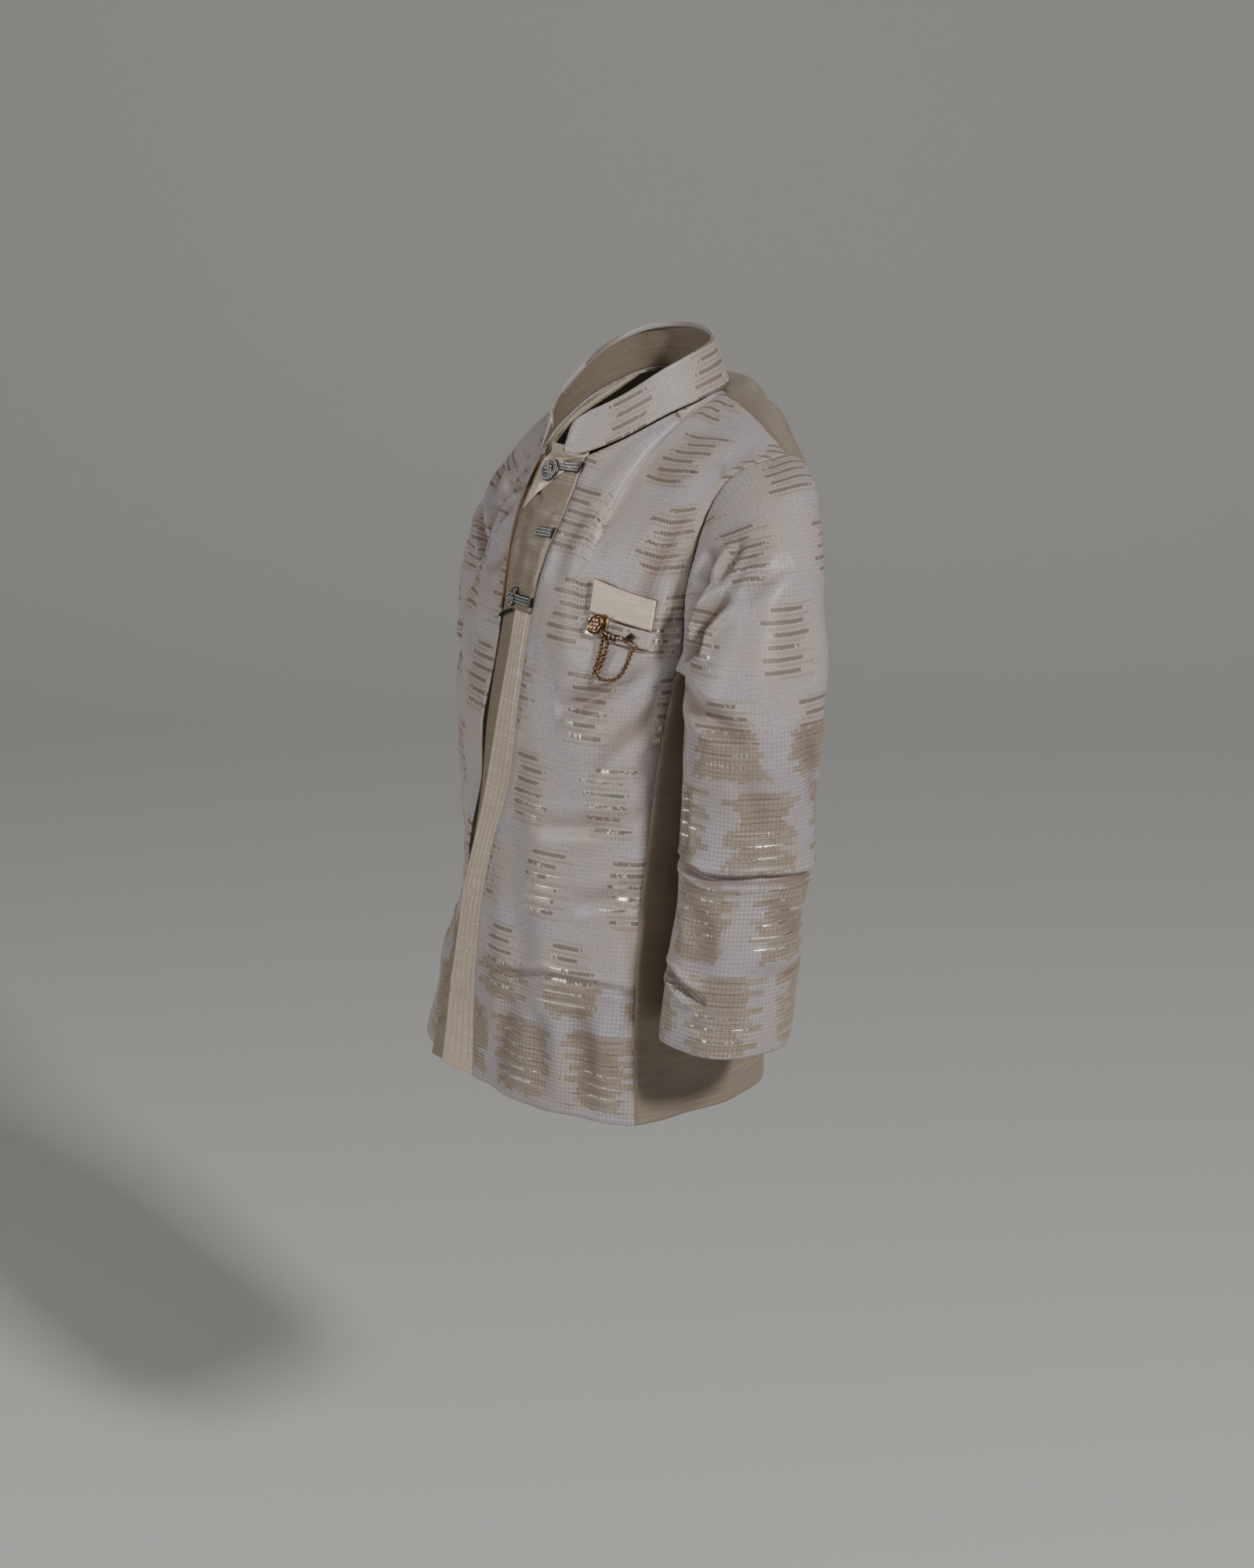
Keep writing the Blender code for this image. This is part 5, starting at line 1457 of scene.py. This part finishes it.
facing = np.stack([x, y, z + 0 * x], axis=-1)
facing_cut = strip_cut(facing)
FACING_CREASES = [([(12, 14), (16, 26), (26, 36)], 2.5, 0.8), ([(4, 20), (6, 34), (8, 44)], 3.0, 0.5)]
facing = folded(facing, facing_cut, FACING_CREASES, 31, [], slow=0.0002)
facing = cloth("neck_facing_cloth", facing, facing_cut, ivory_silk, [], MIDDLE, thickness=THIN_CLOTH)

# %% [markdown]
# ## Small hard pieces
# Buttons, bars, brooch, cord and chain are tiny, so each is one joined mesh with few faces per
# stone or link. They could be instanced, but joined meshes survive any export. All are placed by
# the same rule: a point on the cloth, and the cloth's normal there.


# %% Pieces from points and faces
def piece_of(name, points, faces, material, nodes=(), smooth=True):
    """One object from arrays of points and faces, whose faces look outwards."""
    mesh = bpy.data.meshes.new(name)
    mesh.from_pydata(np.asarray(points), [], [list(face) for face in faces])
    if smooth:
        mesh.shade_smooth()
    mesh.materials.append(material)
    print(name, len(mesh.polygons), "faces")
    return joined_to_coat(name, mesh, nodes)


def placed_copies(points, faces, centres, axes):
    """Copies of one small shape: axes holds, for each copy, the directions its X, Y and Z take."""
    moved = np.einsum("pk,nkd->npd", points, axes) + centres[:, None]
    starts = range(0, len(centres) * len(points), len(points))
    return moved.reshape(-1, 3), [[corner + start for corner in face] for start in starts for face in faces]


def joined(shapes):
    """Points and faces of several shapes as one."""
    every, start = [], 0
    for points, faces in shapes:
        every += [[corner + start for corner in face] for face in faces]
        start += len(points)
    return np.vstack([points for points, _ in shapes]), every


def slab(top, under):
    """A net and the net under it as two shapes whose edges meet, the lower one facing down."""
    faces = net_faces(*top.shape[:2], closed=False).tolist()
    return [(top.reshape(-1, 3), faces), (under.reshape(-1, 3), [face[::-1] for face in faces])]


def welded(piece, label):
    """Merges the points that its nets share."""
    merge = piece.modifiers.new(label, "WELD")
    merge.merge_threshold = 0.00002


def unit(vectors):
    """The vectors at length 1."""
    return vectors / np.maximum(np.linalg.norm(vectors, axis=-1, keepdims=True), 1e-12)


def axes_from(normals, forward):
    """Right-handed directions: Z is the normal and X is the forward direction laid on the cloth."""
    z = unit(np.asarray(normals, float))
    x = unit(forward - (forward * z).sum(axis=-1, keepdims=True) * z)
    return np.stack([x, np.cross(z, x), z], axis=1)


def lathe(profile, steps):
    """A profile of (radius, height) turned about Z, its first and last rows closed to a point."""
    profile = np.array(profile, float)
    turn = np.linspace(0.0, 2 * np.pi, steps, endpoint=False)
    radius, height = profile[1:-1, :1], profile[1:-1, 1:] + 0 * turn
    rows = np.stack([radius * np.cos(turn), radius * np.sin(turn), height], axis=-1).reshape(-1, 3)
    points = np.vstack([rows, [0, 0, profile[0, 1]], [0, 0, profile[-1, 1]]])
    faces = net_faces(len(profile) - 2, steps).tolist()
    last = (len(profile) - 3) * steps
    top, bottom = len(rows), len(rows) + 1
    faces += [[(i + 1) % steps, i, top] for i in range(steps)]
    faces += [[last + i, last + (i + 1) % steps, bottom] for i in range(steps)]
    return points, [face[::-1] for face in faces]


GEM = lathe([(0, 0.62), (0.55, 0.60), (0.98, 0.22), (0.90, -0.25), (0, -0.25)], 8)
print("one stone", len(GEM[1]), "faces")

# %% [markdown]
# ## Metal, stones and trims
# The stones are foil-backed glass, so they act as tiny mirrors under clear facets: a polished
# metal with flat faces shows that with no slow glass. The metal round them is silver gone dark in
# its hollows, and the brooch is brass aged the same way.

# %% Finishes of the trims
stone_glass, tree, shader = finish_named("Foil-backed glass stones", Metallic=0.45, Roughness=0.12)
place = add(tree, "ShaderNodeTexCoord", output=3)
facet = add(tree, "ShaderNodeTexVoronoi", {"Vector": place, "Scale": 1400.0})
colour = add(tree, MIX, {0: facet, 6: linear("#DAD9DA"), 7: linear("#8B8B90")}, **OF_COLOURS)
fill(shader, Base_Color=colour)
rose_glass = finish_named("Rose glass stones", Base_Color=linear("#A58880"), Metallic=0.3, Roughness=0.15)[0]
smoky_glass = finish_named("Smoky glass stone", Base_Color=linear("#1E1512"), Roughness=0.08)[0]

# Metal that is dark and dull in its hollows and pale and glossy where it is rubbed
SILVER = ("#2B2926", "#8B8883")
BRASS = ("#3A2A20", "#B88F66")
dark_silver = grained(
    "Oxidised silver", SILVER, (900.0, 3.0), dull=(0.3, 0.7, 0.5, 0.25), bump=0.4, Metallic=1.0
)
aged_brass = grained(
    "Aged brass", BRASS, (700.0, 3.0), dull=(0.35, 0.65, 0.42, 0.22), bump=0.4, Metallic=1.0
)

# Satin whose threads run aslant, a dull black cord that is painted shadow for a dark gap, and a thread a
# little paler than the silk
AMBER = ("#43291A", "#7A5334")
IVORY = ("#B8AD9B", "#DDD4C4")
SATIN_THREADS = (300.0, 300.0, 1800.0)
amber_satin = grained(
    "Amber satin piping", AMBER, (1.0, 1.0), SATIN_THREADS, 0.6, Roughness=0.38, Sheen_Weight=0.2
)
shadow_gap_cord = grained("Black cord for a shadow gap", ("#080808", "#1F1C1A"), (2500.0, 2.0), Roughness=0.6)
sewing_thread = grained("Ivory sewing thread", IVORY, (3000.0, 1.0), Roughness=0.45, Sheen_Weight=0.2)
trims = (stone_glass, dark_silver, aged_brass, amber_satin, shadow_gap_cord, sewing_thread)
print("finishes", [finish.name for finish in trims])

# %% [markdown]
# ## Piping and cord
# A folded edge of amber satin runs down the right front, and a short black cord of two twisted
# plies lies across the end of the placket, where it stands in for the dark shadow gap there:
# painted shadow. Both are a round profile carried along a path.


# %% Tubes along a path
def closure_place(x, z, out):
    """A point on the closure strips, moved out along the normal, and that normal."""
    step = 0.002
    across = (front_y(x + step, z) - front_y(x - step, z)) / (2 * step)
    upward = (front_y(x, z + step) - front_y(x, z - step)) / (2 * step)
    normal = unit(np.stack([across, -np.ones_like(across), upward], axis=-1))
    return np.stack([x, front_y(x, z), z], axis=-1) + normal * np.asarray(out)[..., None], normal


def tube_along(path, normals, radius, sides=10):
    """Rings round a path: each ring is a circle across the path, and its ends close to a point.

    radius is one size, or one for each point of the path.
    """
    forward = unit(np.gradient(path, axis=0))
    across = unit(np.cross(forward, normals))
    up = np.cross(across, forward)
    turn = np.linspace(0.0, 2 * np.pi, sides, endpoint=False)[None, :]
    size = np.broadcast_to(np.asarray(radius, float), (len(path),))[:, None]
    rings = path[:, None] + (size * np.cos(turn))[..., None] * across[:, None]
    rings = rings + (size * np.sin(turn))[..., None] * up[:, None]
    points = np.vstack([rings.reshape(-1, 3), path[:1], path[-1:]])
    count = len(path) * sides
    faces = net_faces(len(path), sides).tolist()
    faces += [[(i + 1) % sides, i, count] for i in range(sides)]
    last = (len(path) - 1) * sides
    faces += [[last + i, last + (i + 1) % sides, count + 1] for i in range(sides)]
    return points, faces


z = np.linspace(-0.1550, NECKLINE_FRONT_Z - NECKLINE_DIP, 90)
x = along(CLOSURE_TABLE, z)[0]
path, normal = closure_place(x, z, np.full(z.shape, 0.0009))
points, faces = tube_along(path, normal, 0.0010)
piece_of("edge_piping_satin", points, faces, amber_satin, ["edge_piping"])

# Painted shadow: a black cord of two twisted plies across the placket's end, dark as the gap there.
x = np.linspace(-0.0085, 0.0085, 60)
path, normal = closure_place(x, placket_end_z(x) - 0.0015, np.full(x.shape, 0.0013))
forward = unit(np.gradient(path, axis=0))
across_path = np.cross(forward, normal)
turn = np.linspace(0.0, 2 * np.pi * 5.5, len(x))[:, None]
strands = []
for phase in (0.0, np.pi):
    strand = path + 0.0006 * (np.cos(turn + phase) * across_path + np.sin(turn + phase) * normal)
    strands.append(tube_along(strand, normal, 0.00068, 8))
points, faces = joined(strands)
piece_of("placket_end_shadow_cord", points, faces, shadow_gap_cord, ["placket_end_cord"])

# %% [markdown]
# ## Topstitching
# The band below the buttons is held flat by rows of stitches from the chest to the hem. Each
# stitch is a short thread lying in a soft groove. A painted line would have no thickness, so
# every stitch here is a small capsule of twenty faces, all in one mesh.


# %% Stitches on the band
def stitches(name, lines, length, gap, radius, material):
    """Capsules of thread along each line of (points, normals), with a gap between them."""
    ring = np.linspace(0.0, 2 * np.pi, 6, endpoint=False)
    shape = [(-0.5, 0.35), (-0.34, 1.0), (0.34, 1.0), (0.5, 0.35)]
    capsule = np.vstack(
        [np.stack([np.full(6, at), size * np.cos(ring), size * np.sin(ring)], axis=1) for at, size in shape]
    )
    faces = net_faces(4, 6).tolist() + [[5, 4, 3, 2, 1, 0], [18, 19, 20, 21, 22, 23]]
    centres, axes = [], []
    for points, normals in lines:
        gone = lengths_along(points)
        places = np.arange(length / 2, gone[-1], length + gap)
        centres.append(read_at(places, gone, points))
        forward = unit(read_at(places, gone, np.gradient(points, axis=0)))
        directions = axes_from(read_at(places, gone, normals), forward)
        axes.append(directions * np.array([length, radius, radius])[None, :, None])
    points, every = placed_copies(capsule, faces, np.vstack(centres), np.vstack(axes))
    return piece_of(name, points, every, material)


def groove_lines(surface, shares, inset):
    """Lines up a strip at shares of its width, with the normals there."""
    columns = surface.shape[1] - 1
    normals = forward_normals(surface)
    lines = []
    for share in shares:
        column = int(round(share * columns))
        lines.append((surface[6:-1, column] + normals[6:-1, column] * inset, normals[6:-1, column]))
    return lines


STITCH_LENGTH = 0.0030
STITCH_GAP = 0.0007
THREAD_RADIUS = 0.00022
band_lines = groove_lines(band_shape, BAND_ROWS_AT, 0.0002)
stitches("band_topstitching", band_lines, STITCH_LENGTH, STITCH_GAP, THREAD_RADIUS, sewing_thread)

# %% [markdown]
# ## Chest pocket
# The pocket's flap is brocade and the square in it is folded silk. Its corner is turned back, so
# a sharp fold runs across it, and its right end is doubled over. Each is a patch between four
# corners laid on the folded front.


# %% Laying pieces on the left front
left_normals = forward_normals(left_shape)
SEARCH = 0.06


def on_front(x, z, out):
    """Points of the folded left front at these X and Z, moved out along its normal, and the normal.

    Each slides from its four nearest net points along their tangent planes, and takes the mean.
    """
    x, z = np.asarray(x, float), np.asarray(z, float)
    near = left_shape[LEVEL:].reshape(-1, 3)
    normals = left_normals[LEVEL:].reshape(-1, 3)
    close = (np.abs(near[:, 0] - x.mean()) < SEARCH) & (np.abs(near[:, 2] - z.mean()) < SEARCH)
    near, normals = near[close], normals[close]
    gap = (near[None, :, 0] - x.reshape(-1, 1)) ** 2 + (near[None, :, 2] - z.reshape(-1, 1)) ** 2
    found = np.argsort(gap, axis=1)[:, :4]
    share = 1 / (np.take_along_axis(gap, found, axis=1) + 1e-9)
    share = share / share.sum(axis=1, keepdims=True)
    n = normals[found]
    slide = n[..., 0] * (x.reshape(-1, 1) - near[found][..., 0])
    slide = slide + n[..., 2] * (z.reshape(-1, 1) - near[found][..., 2])
    y = ((near[found][..., 1] - slide / n[..., 1]) * share).sum(axis=1)
    normal = unit((n * share[..., None]).sum(axis=1))
    points = np.stack([x.ravel(), y, z.ravel()], axis=1) + normal * np.asarray(out, float).reshape(-1, 1)
    return points.reshape(*x.shape, 3), normal.reshape(*x.shape, 3)


def patch(corners, rows, columns, out):
    """A patch between corners (x, z): lower left, lower right, upper right, upper left.

    Its depth is the quadratic surface nearest to the folded front below it, moved forward until
    no fold comes through, so a pressed piece stays straight on creased cloth.
    """
    lower_left, lower_right, upper_right, upper_left = np.array(corners)
    s = np.linspace(0.0, 1.0, columns + 1)[None, :, None]
    t = np.linspace(0.0, 1.0, rows + 1)[:, None, None]
    flat = (1 - t) * ((1 - s) * lower_left + s * lower_right) + t * ((1 - s) * upper_left + s * upper_right)
    x, z = flat[..., 0], flat[..., 1]
    s, t = s[..., 0] + 0 * x, t[..., 0] + 0 * x
    below, normal = on_front(x, z, np.zeros(x.shape))
    terms = np.stack([np.ones(x.shape), s, t, s * t, s**2, t**2], axis=-1).reshape(-1, 6)
    level = (terms @ np.linalg.lstsq(terms, below[..., 1].ravel(), rcond=None)[0]).reshape(x.shape)
    level -= max(0.0, float(np.percentile(level - below[..., 1], 97)) - 0.0008)
    mean_normal = unit(normal.reshape(-1, 3).mean(axis=0))
    return np.stack([x, level, z], axis=-1) + mean_normal * out(s, t)[..., None]


def rounded_edges(s, t, wide, high):
    """How much a patch falls off at its four edges, as shares of its width and of its height."""
    return np.exp(-t / high) + np.exp(-(1 - t) / high) + np.exp(-s / wide) + np.exp(-(1 - s) / wide)


def square_height(s, t):
    """The square lies 2.2 mm out, with a sharp fold across it and a doubled strip at its end."""
    fold = (t - 0.05) - 0.92 * (s - 0.39) / 0.48
    below = smooth_step(-fold, 0.0, 0.035)
    step = 0.0013 * below * smooth_step(s, 0.36, 0.46) * (0.4 + 0.6 * smooth_step(-fold, 0.9, 0.1))
    groove = -0.0008 * np.exp(-(((fold - 0.03) / 0.05) ** 2)) * smooth_step(s, 0.36, 0.50)
    doubled = 0.0009 * smooth_step(s, 0.925, 0.945)
    rounded = -0.0012 * rounded_edges(s, t, 0.015, 0.02)
    ripple = 0.00025 * np.sin(7 * s + 4 * t) * np.sin(3 * t + 1)
    return 0.0022 + step + groove + doubled + rounded + ripple


def flap_height(s, t):
    """The flap lies close, its edges turned under, with a slow ripple."""
    return 0.0020 - 0.0010 * rounded_edges(s, t, 0.02, 0.05) + 0.0002 * np.sin(6 * s) * t


FLAP_CORNERS = [(0.094, -0.1575), (0.1345, -0.1655), (0.1335, -0.1535), (0.093, -0.1420)]
SQUARE_CORNERS = [(0.0935, -0.1405), (0.1325, -0.1520), (0.1270, -0.1310), (0.0880, -0.1170)]
flap = patch(FLAP_CORNERS, 24, 60, flap_height)
flap_cut = strip_cut(flap) + [0.092, -0.226]
flap = cloth("pocket_flap_cloth", flap, flap_cut, brocade, ["pocket_welt"], MIDDLE, thickness=0.0009)
square = patch(SQUARE_CORNERS, 48, 80, square_height)
square_cut = strip_cut(square)
folded_square = cloth(
    "pocket_square_cloth", square, square_cut, ivory_silk, ["pocket_square"], MIDDLE, thickness=THIN_CLOTH
)

# A thin dark brown tube along the square's upper and right edges, in the form of a rolled hem: painted
# shadow where the square meets the pocket.
hem = np.concatenate([square[-1], square[-2::-1, -1]])
edge_shadow_normal = np.broadcast_to(unit(normals_of(square).reshape(-1, 3).mean(axis=0)), hem.shape)
points, faces = tube_along(hem, -edge_shadow_normal * np.sign(edge_shadow_normal[0, 1]), 0.00036, 8)
piece_of("square_edge_shadow_line", points, faces, amber_satin)

# %% [markdown]
# ## Buttons and loop bars
# The top button is a disc with a flower of stones inside a halo of stones, and the loops end in
# bars with three rows of stones and a dark cap. The metal is a turned or pillowed form, and the
# stones stand on it in rows measured from its size.


# %% Stone-set pieces
def set_stones(name, centres, normals, radius, glass=stone_glass):
    """Gems standing at these places, all in one piece, of one radius or one for each."""
    size = np.broadcast_to(np.asarray(radius, float), (len(centres),))
    axes = axes_from(normals, np.array([0.36, 0.2, 0.91])) * size[:, None, None]
    points, faces = placed_copies(GEM[0], GEM[1], centres, axes)
    piece_of(name, points, faces, glass, smooth=False)


def stone_button(name, x, z, radius, height, rings):
    """A turned disc on the placket with rings of stones on it.

    A ring is its share of the radius, how many stones, their radius and its share of the height.
    """
    centre, normal = closure_place(np.array([x]), np.array([z]), np.array([0.0006]))
    axes = axes_from(normal, np.array([1.0, 0.0, 0.0]))
    profile = [(0, 0.52), (0.30, 0.52), (0.42, 0.40), (0.62, 0.36), (0.74, 0.46), (0.92, 0.46), (1.0, 0.30)]
    profile += [(1.0, 0.12), (0.93, 0.0), (0, 0)]
    disc, faces = lathe([(share * radius, up * height) for share, up in profile], 40)
    points, faces = placed_copies(disc, faces, centre, axes)
    piece_of(name + "_disc", points, faces, dark_silver, [name])
    places = []
    for share, count, size, up in rings:
        turn = np.arange(count) * 2 * np.pi / count
        spot = np.stack([share * radius * np.cos(turn), share * radius * np.sin(turn)], axis=1)
        places.append(np.column_stack([spot, np.full(count, up * height), np.full(count, size)]))
    places = np.vstack(places)
    centres = places[:, :3] @ axes[0] + centre
    normals = np.repeat(normal, len(places), axis=0)
    set_stones(name + "_stones", centres, normals, places[:, 3])


TOP_RINGS = [(0.83, 24, 0.00105, 0.50), (0.58, 16, 0.00085, 0.42)]
TOP_RINGS += [(0.30, 6, 0.00115, 0.56), (0.0, 1, 0.0013, 0.62)]
THIRD_RINGS = [(0.80, 14, 0.00095, 0.50), (0.38, 6, 0.00085, 0.55), (0.0, 1, 0.0010, 0.60)]
stone_button("top_button", 0.0095, -0.0490, 0.0092, 0.0062, TOP_RINGS)
stone_button("third_button", 0.0055, -0.1455, 0.0056, 0.0042, THIRD_RINGS)

# %% Loop bars
BAR_HALF_HEIGHT = 0.0037
PLATE_OUT = 0.0008
STONE_ROWS = (-0.60, 0.0, 0.60)
STONE_STEP = 0.0016
BARS = [
    # name, start_x, end_x, middle_z
    ("loop_bar_1", 0.0185, 0.0325, -0.0445),
    ("loop_bar_2", 0.0215, 0.0375, -0.0915),
    ("loop_bar_3", 0.0120, 0.0335, -0.1440),
]


def bar_place(bar, s, t, out):
    """Points of a bar at shares s along and t across, both from -1 to 1, and their normals."""
    start_x, end_x, middle_z = bar
    x = (start_x + end_x) / 2 + s * (end_x - start_x) / 2 + 0 * t
    return closure_place(x, middle_z + t * BAR_HALF_HEIGHT + 0 * s, out)


def rim_of(net):
    """The points round a net's edge, in order."""
    return np.concatenate([net[0], net[1:, -1], net[-1, -2::-1], net[-2:0:-1, 0]])


s = np.linspace(-1.0, 1.0, 31)[None, :]
t = np.linspace(-1.0, 1.0, 17)[:, None]
pillow = PLATE_OUT + 0.0016 * ((1 - np.abs(s) ** 10) * (1 - np.abs(t) ** 8)) ** 0.4
ridges = 0.0003 * np.cos(t * 3.3 * np.pi) * (1 - s**12)
cap_s = np.linspace(0.86, 1.02, 9)[None, :]
cap_t = np.linspace(-1.04, 1.04, 17)[:, None]
cap_share = (1 - np.abs((cap_s - 0.94) / 0.0801) ** 4) * (1 - np.abs(cap_t / 1.041) ** 6)
cap_out = 0.0024 + 0.0012 * cap_share**0.5
for name, *bar in BARS:
    top, _ = bar_place(bar, s, t, pillow + ridges)
    under, _ = bar_place(bar, s, t, 0 * pillow + PLATE_OUT)
    cap, _ = bar_place(bar, cap_s, cap_t, cap_out)
    foot, _ = bar_place(bar, cap_s, cap_t, 0 * cap_out + PLATE_OUT)
    rim = rim_of(cap)
    wall = (np.vstack([rim_of(foot), rim]), net_faces(2, len(rim)).tolist())
    points, faces = joined([*slab(top, under), *slab(cap, foot), wall])
    welded(piece_of(name + "_plate", points, faces, dark_silver, [name]), "Closed edges")
    along_bar = np.linspace(-0.90, 0.78, max(int((bar[1] - bar[0]) / STONE_STEP), 4))
    spots = np.array([(at, row) for row in STONE_ROWS for at in along_bar])
    centres, normals = bar_place(bar, spots[:, 0], spots[:, 1], np.full(len(spots), 0.0025))
    set_stones(name + "_stones", centres, normals, 0.00078)

# %% The dark-rimmed stone beside the third button
centre, normal = closure_place(np.array([0.0105]), np.array([-0.1395]), np.array([0.0008]))
setting, faces = lathe([(0, 0.3), (0.7, 0.3), (0.8, 0.9), (1.0, 0.9), (1.05, 0.2), (0.95, 0.0), (0, 0)], 20)
axes = axes_from(normal, np.array([0.5, 0.0, 0.87])) * np.array([0.0040, 0.0026, 0.0026])[None, :, None]
points, faces = placed_copies(setting, faces, centre, axes)
piece_of("side_stone_setting", points, faces, dark_silver)
spots = np.array([(-0.45, 0.0, 0.45), (0.1, 0.25, 0.45), (0.1, -0.25, 0.45), (0.5, 0.0, 0.45)])
normals = np.repeat(normal, len(spots), axis=0)
set_stones("side_stones", spots @ axes[0] + centre, normals, 0.0010)

# %% [markdown]
# ## Brooch
# A brass medallion with a flower in relief is joined to a slim bar set with stones, with a square
# stone and a tip at its end. Two short chains and one long loop of fine links hang from it.

# %% Medallion, bar and stone
MEDALLION_X, MEDALLION_Z, MEDALLION_RADIUS = 0.1005, -0.1500, 0.0074
NARROW, TALL = 0.84, 1.02
rows, columns = 26, 64
ring = np.linspace(0.0, 1.0, rows)[:, None]
turn = np.linspace(0.0, 2 * np.pi, columns, endpoint=False)[None, :]
flower = 0.0011 * np.exp(-(((ring - 0.42) / 0.20) ** 2)) * (0.55 + 0.45 * np.cos(6 * turn))
rim = 0.0012 * np.exp(-(((ring - 0.86) / 0.07) ** 2)) * (1 + 0.25 * np.cos(24 * turn))
middle = 0.0014 * np.exp(-((ring / 0.16) ** 2))
edge = 0.0022 * np.clip((1 - ring) / 0.06, 0.0, 1.0) ** 0.5
height = 0.0024 + edge + flower + rim + middle
x = MEDALLION_X + NARROW * MEDALLION_RADIUS * ring * np.cos(turn)
z = MEDALLION_Z + TALL * MEDALLION_RADIUS * ring * np.sin(turn)
face_points, _ = on_front(x, z, height)
back_points, _ = on_front(x[-1:], z[-1:], np.full((1, columns), 0.0022))
points = np.vstack([face_points.reshape(-1, 3), back_points.reshape(-1, 3)])
faces = [face[::-1] for face in net_faces(rows + 1, columns).tolist()]
medallion = piece_of("medallion_relief", points, faces, aged_brass, ["brooch_medallion"])
welded(medallion, "Closed middle")

turn = np.append(np.arange(6) * np.pi / 3, 0.0)
reach = np.append(np.full(6, 0.0030), 0.0)
x = MEDALLION_X + NARROW * reach * np.cos(turn)
centres, normals = on_front(x, MEDALLION_Z + reach * np.sin(turn), np.full(7, 0.0060))
set_stones("medallion_rosette", centres, normals, 0.00125, rose_glass)
curl = np.array([(0.1035, -0.1425), (0.1075, -0.1445), (0.1092, -0.1490), (0.1100, -0.1530)])
curl, _ = on_front(curl[:, 0], curl[:, 1], np.full(4, 0.0048))
curl = evenly(curve_through(curl, 40), 24)
_, normal = on_front(curl[:, 0], curl[:, 2], np.zeros(24))
points, faces = tube_along(curl, normal, 0.0010 * np.sin(np.linspace(0.3, 2.6, 24)), 10)
piece_of("brooch_curl", points, faces, aged_brass)

BAR_START, BAR_END = np.array([0.1068, -0.1532]), np.array([0.1290, -0.1652])
share = np.linspace(0.0, 1.0, 40)
line = BAR_START + (BAR_END - BAR_START) * share[:, None]
path, normal = on_front(line[:, 0], line[:, 1], np.full(40, 0.0042))
width = 0.0017 + 0.0003 * np.cos(share * 2 * np.pi * 5) - 0.0012 * smooth_step(share, 0.9, 1.0)
points, faces = tube_along(path, normal, width, 12)
piece_of("brooch_bar_brass", points, faces, aged_brass, ["brooch_bar"])
line = BAR_START + (BAR_END - BAR_START) * np.linspace(0.16, 0.92, 11)[:, None]
centres, normals = on_front(line[:, 0], line[:, 1] - 0.0004, np.full(11, 0.0058))
set_stones("brooch_bar_stones", centres, normals, 0.00095)

s = np.linspace(-1.0, 1.0, 15)[None, :]
t = np.linspace(-1.0, 1.0, 15)[:, None]
slant = np.radians(-28.0)
STONE_HALF = 0.0030
x = 0.1215 + STONE_HALF * (s * np.cos(slant) - t * np.sin(slant))
z = -0.1590 + STONE_HALF * (s * np.sin(slant) + t * np.cos(slant))
dome = 0.0050 + 0.0022 * ((1 - np.abs(s) ** 4) * (1 - np.abs(t) ** 4)) ** 0.5
frame_edge = 0.0006 * np.exp(-(((np.maximum(np.abs(s), np.abs(t)) - 0.82) / 0.08) ** 2))
top, _ = on_front(x, z, dome + frame_edge)
under, _ = on_front(x, z, 0 * dome + 0.0050)
points, faces = joined(slab(top, under))
setting = piece_of("square_stone_setting", points, faces, aged_brass, ["brooch_stone"])
welded(setting, "Closed edges")
centres, normals = on_front(np.array([0.1212]), np.array([-0.1590]), np.array([0.0066]))
set_stones("square_stone", centres, normals, 0.0022, smoky_glass)

# %% Chains of links
LINK_PITCH = 0.0013
CHAINS = {
    # node: size of its links against the smallest, then the route by (x, z) over the pocket
    "brooch_chain_drop_1": (2.0, [(0.1088, -0.157), (0.1098, -0.165), (0.1100, -0.1745), (0.1106, -0.1835)]),
    "brooch_chain_drop_2": (2.0, [(0.1122, -0.1585), (0.113, -0.166), (0.1134, -0.1745), (0.1138, -0.1825)]),
    "brooch_chain_swag": (1.5, [(0.1126, -0.184), (0.1176, -0.188), (0.1240, -0.183), (0.1276, -0.166)]),
}
# A link is an oval ring of wire: 8 sections round it, 5 points round each
around = np.linspace(0.0, 2 * np.pi, 8, endpoint=False)[:, None]
tube = np.linspace(0.0, 2 * np.pi, 5, endpoint=False)
reach = 0.00080 + 0.00030 * np.cos(tube)
height = np.broadcast_to(0.00030 * np.sin(tube), (8, 5))
LINK = np.stack([1.25 * np.cos(around) * reach, np.sin(around) * reach, height], axis=-1).reshape(-1, 3)
corner = np.arange(8 * 5).reshape(8, 5)
beyond = np.roll(corner, -1, axis=0)
link_faces = np.stack([corner, beyond, np.roll(beyond, -1, axis=1), np.roll(corner, -1, axis=1)], axis=-1)
for node, (wide, route) in CHAINS.items():
    flat = np.array(route)
    points, _ = on_front(flat[:, 0], flat[:, 1], np.full(len(flat), 0.0040))
    path = curve_through(points, 120)
    path = evenly(path, int(lengths_along(path)[-1] / LINK_PITCH / wide) + 1)
    _, normal = on_front(path[:, 0], path[:, 2], np.zeros(len(path)))
    forward = unit(np.gradient(path, axis=0))
    turned = np.where((np.arange(len(path)) % 2)[:, None] == 1, normal, np.cross(normal, forward))
    faces = link_faces.reshape(-1, 4).tolist()
    points, faces = placed_copies(LINK * wide, faces, path, axes_from(turned, forward))
    piece_of(node + "_links", points, faces, aged_brass, [node])
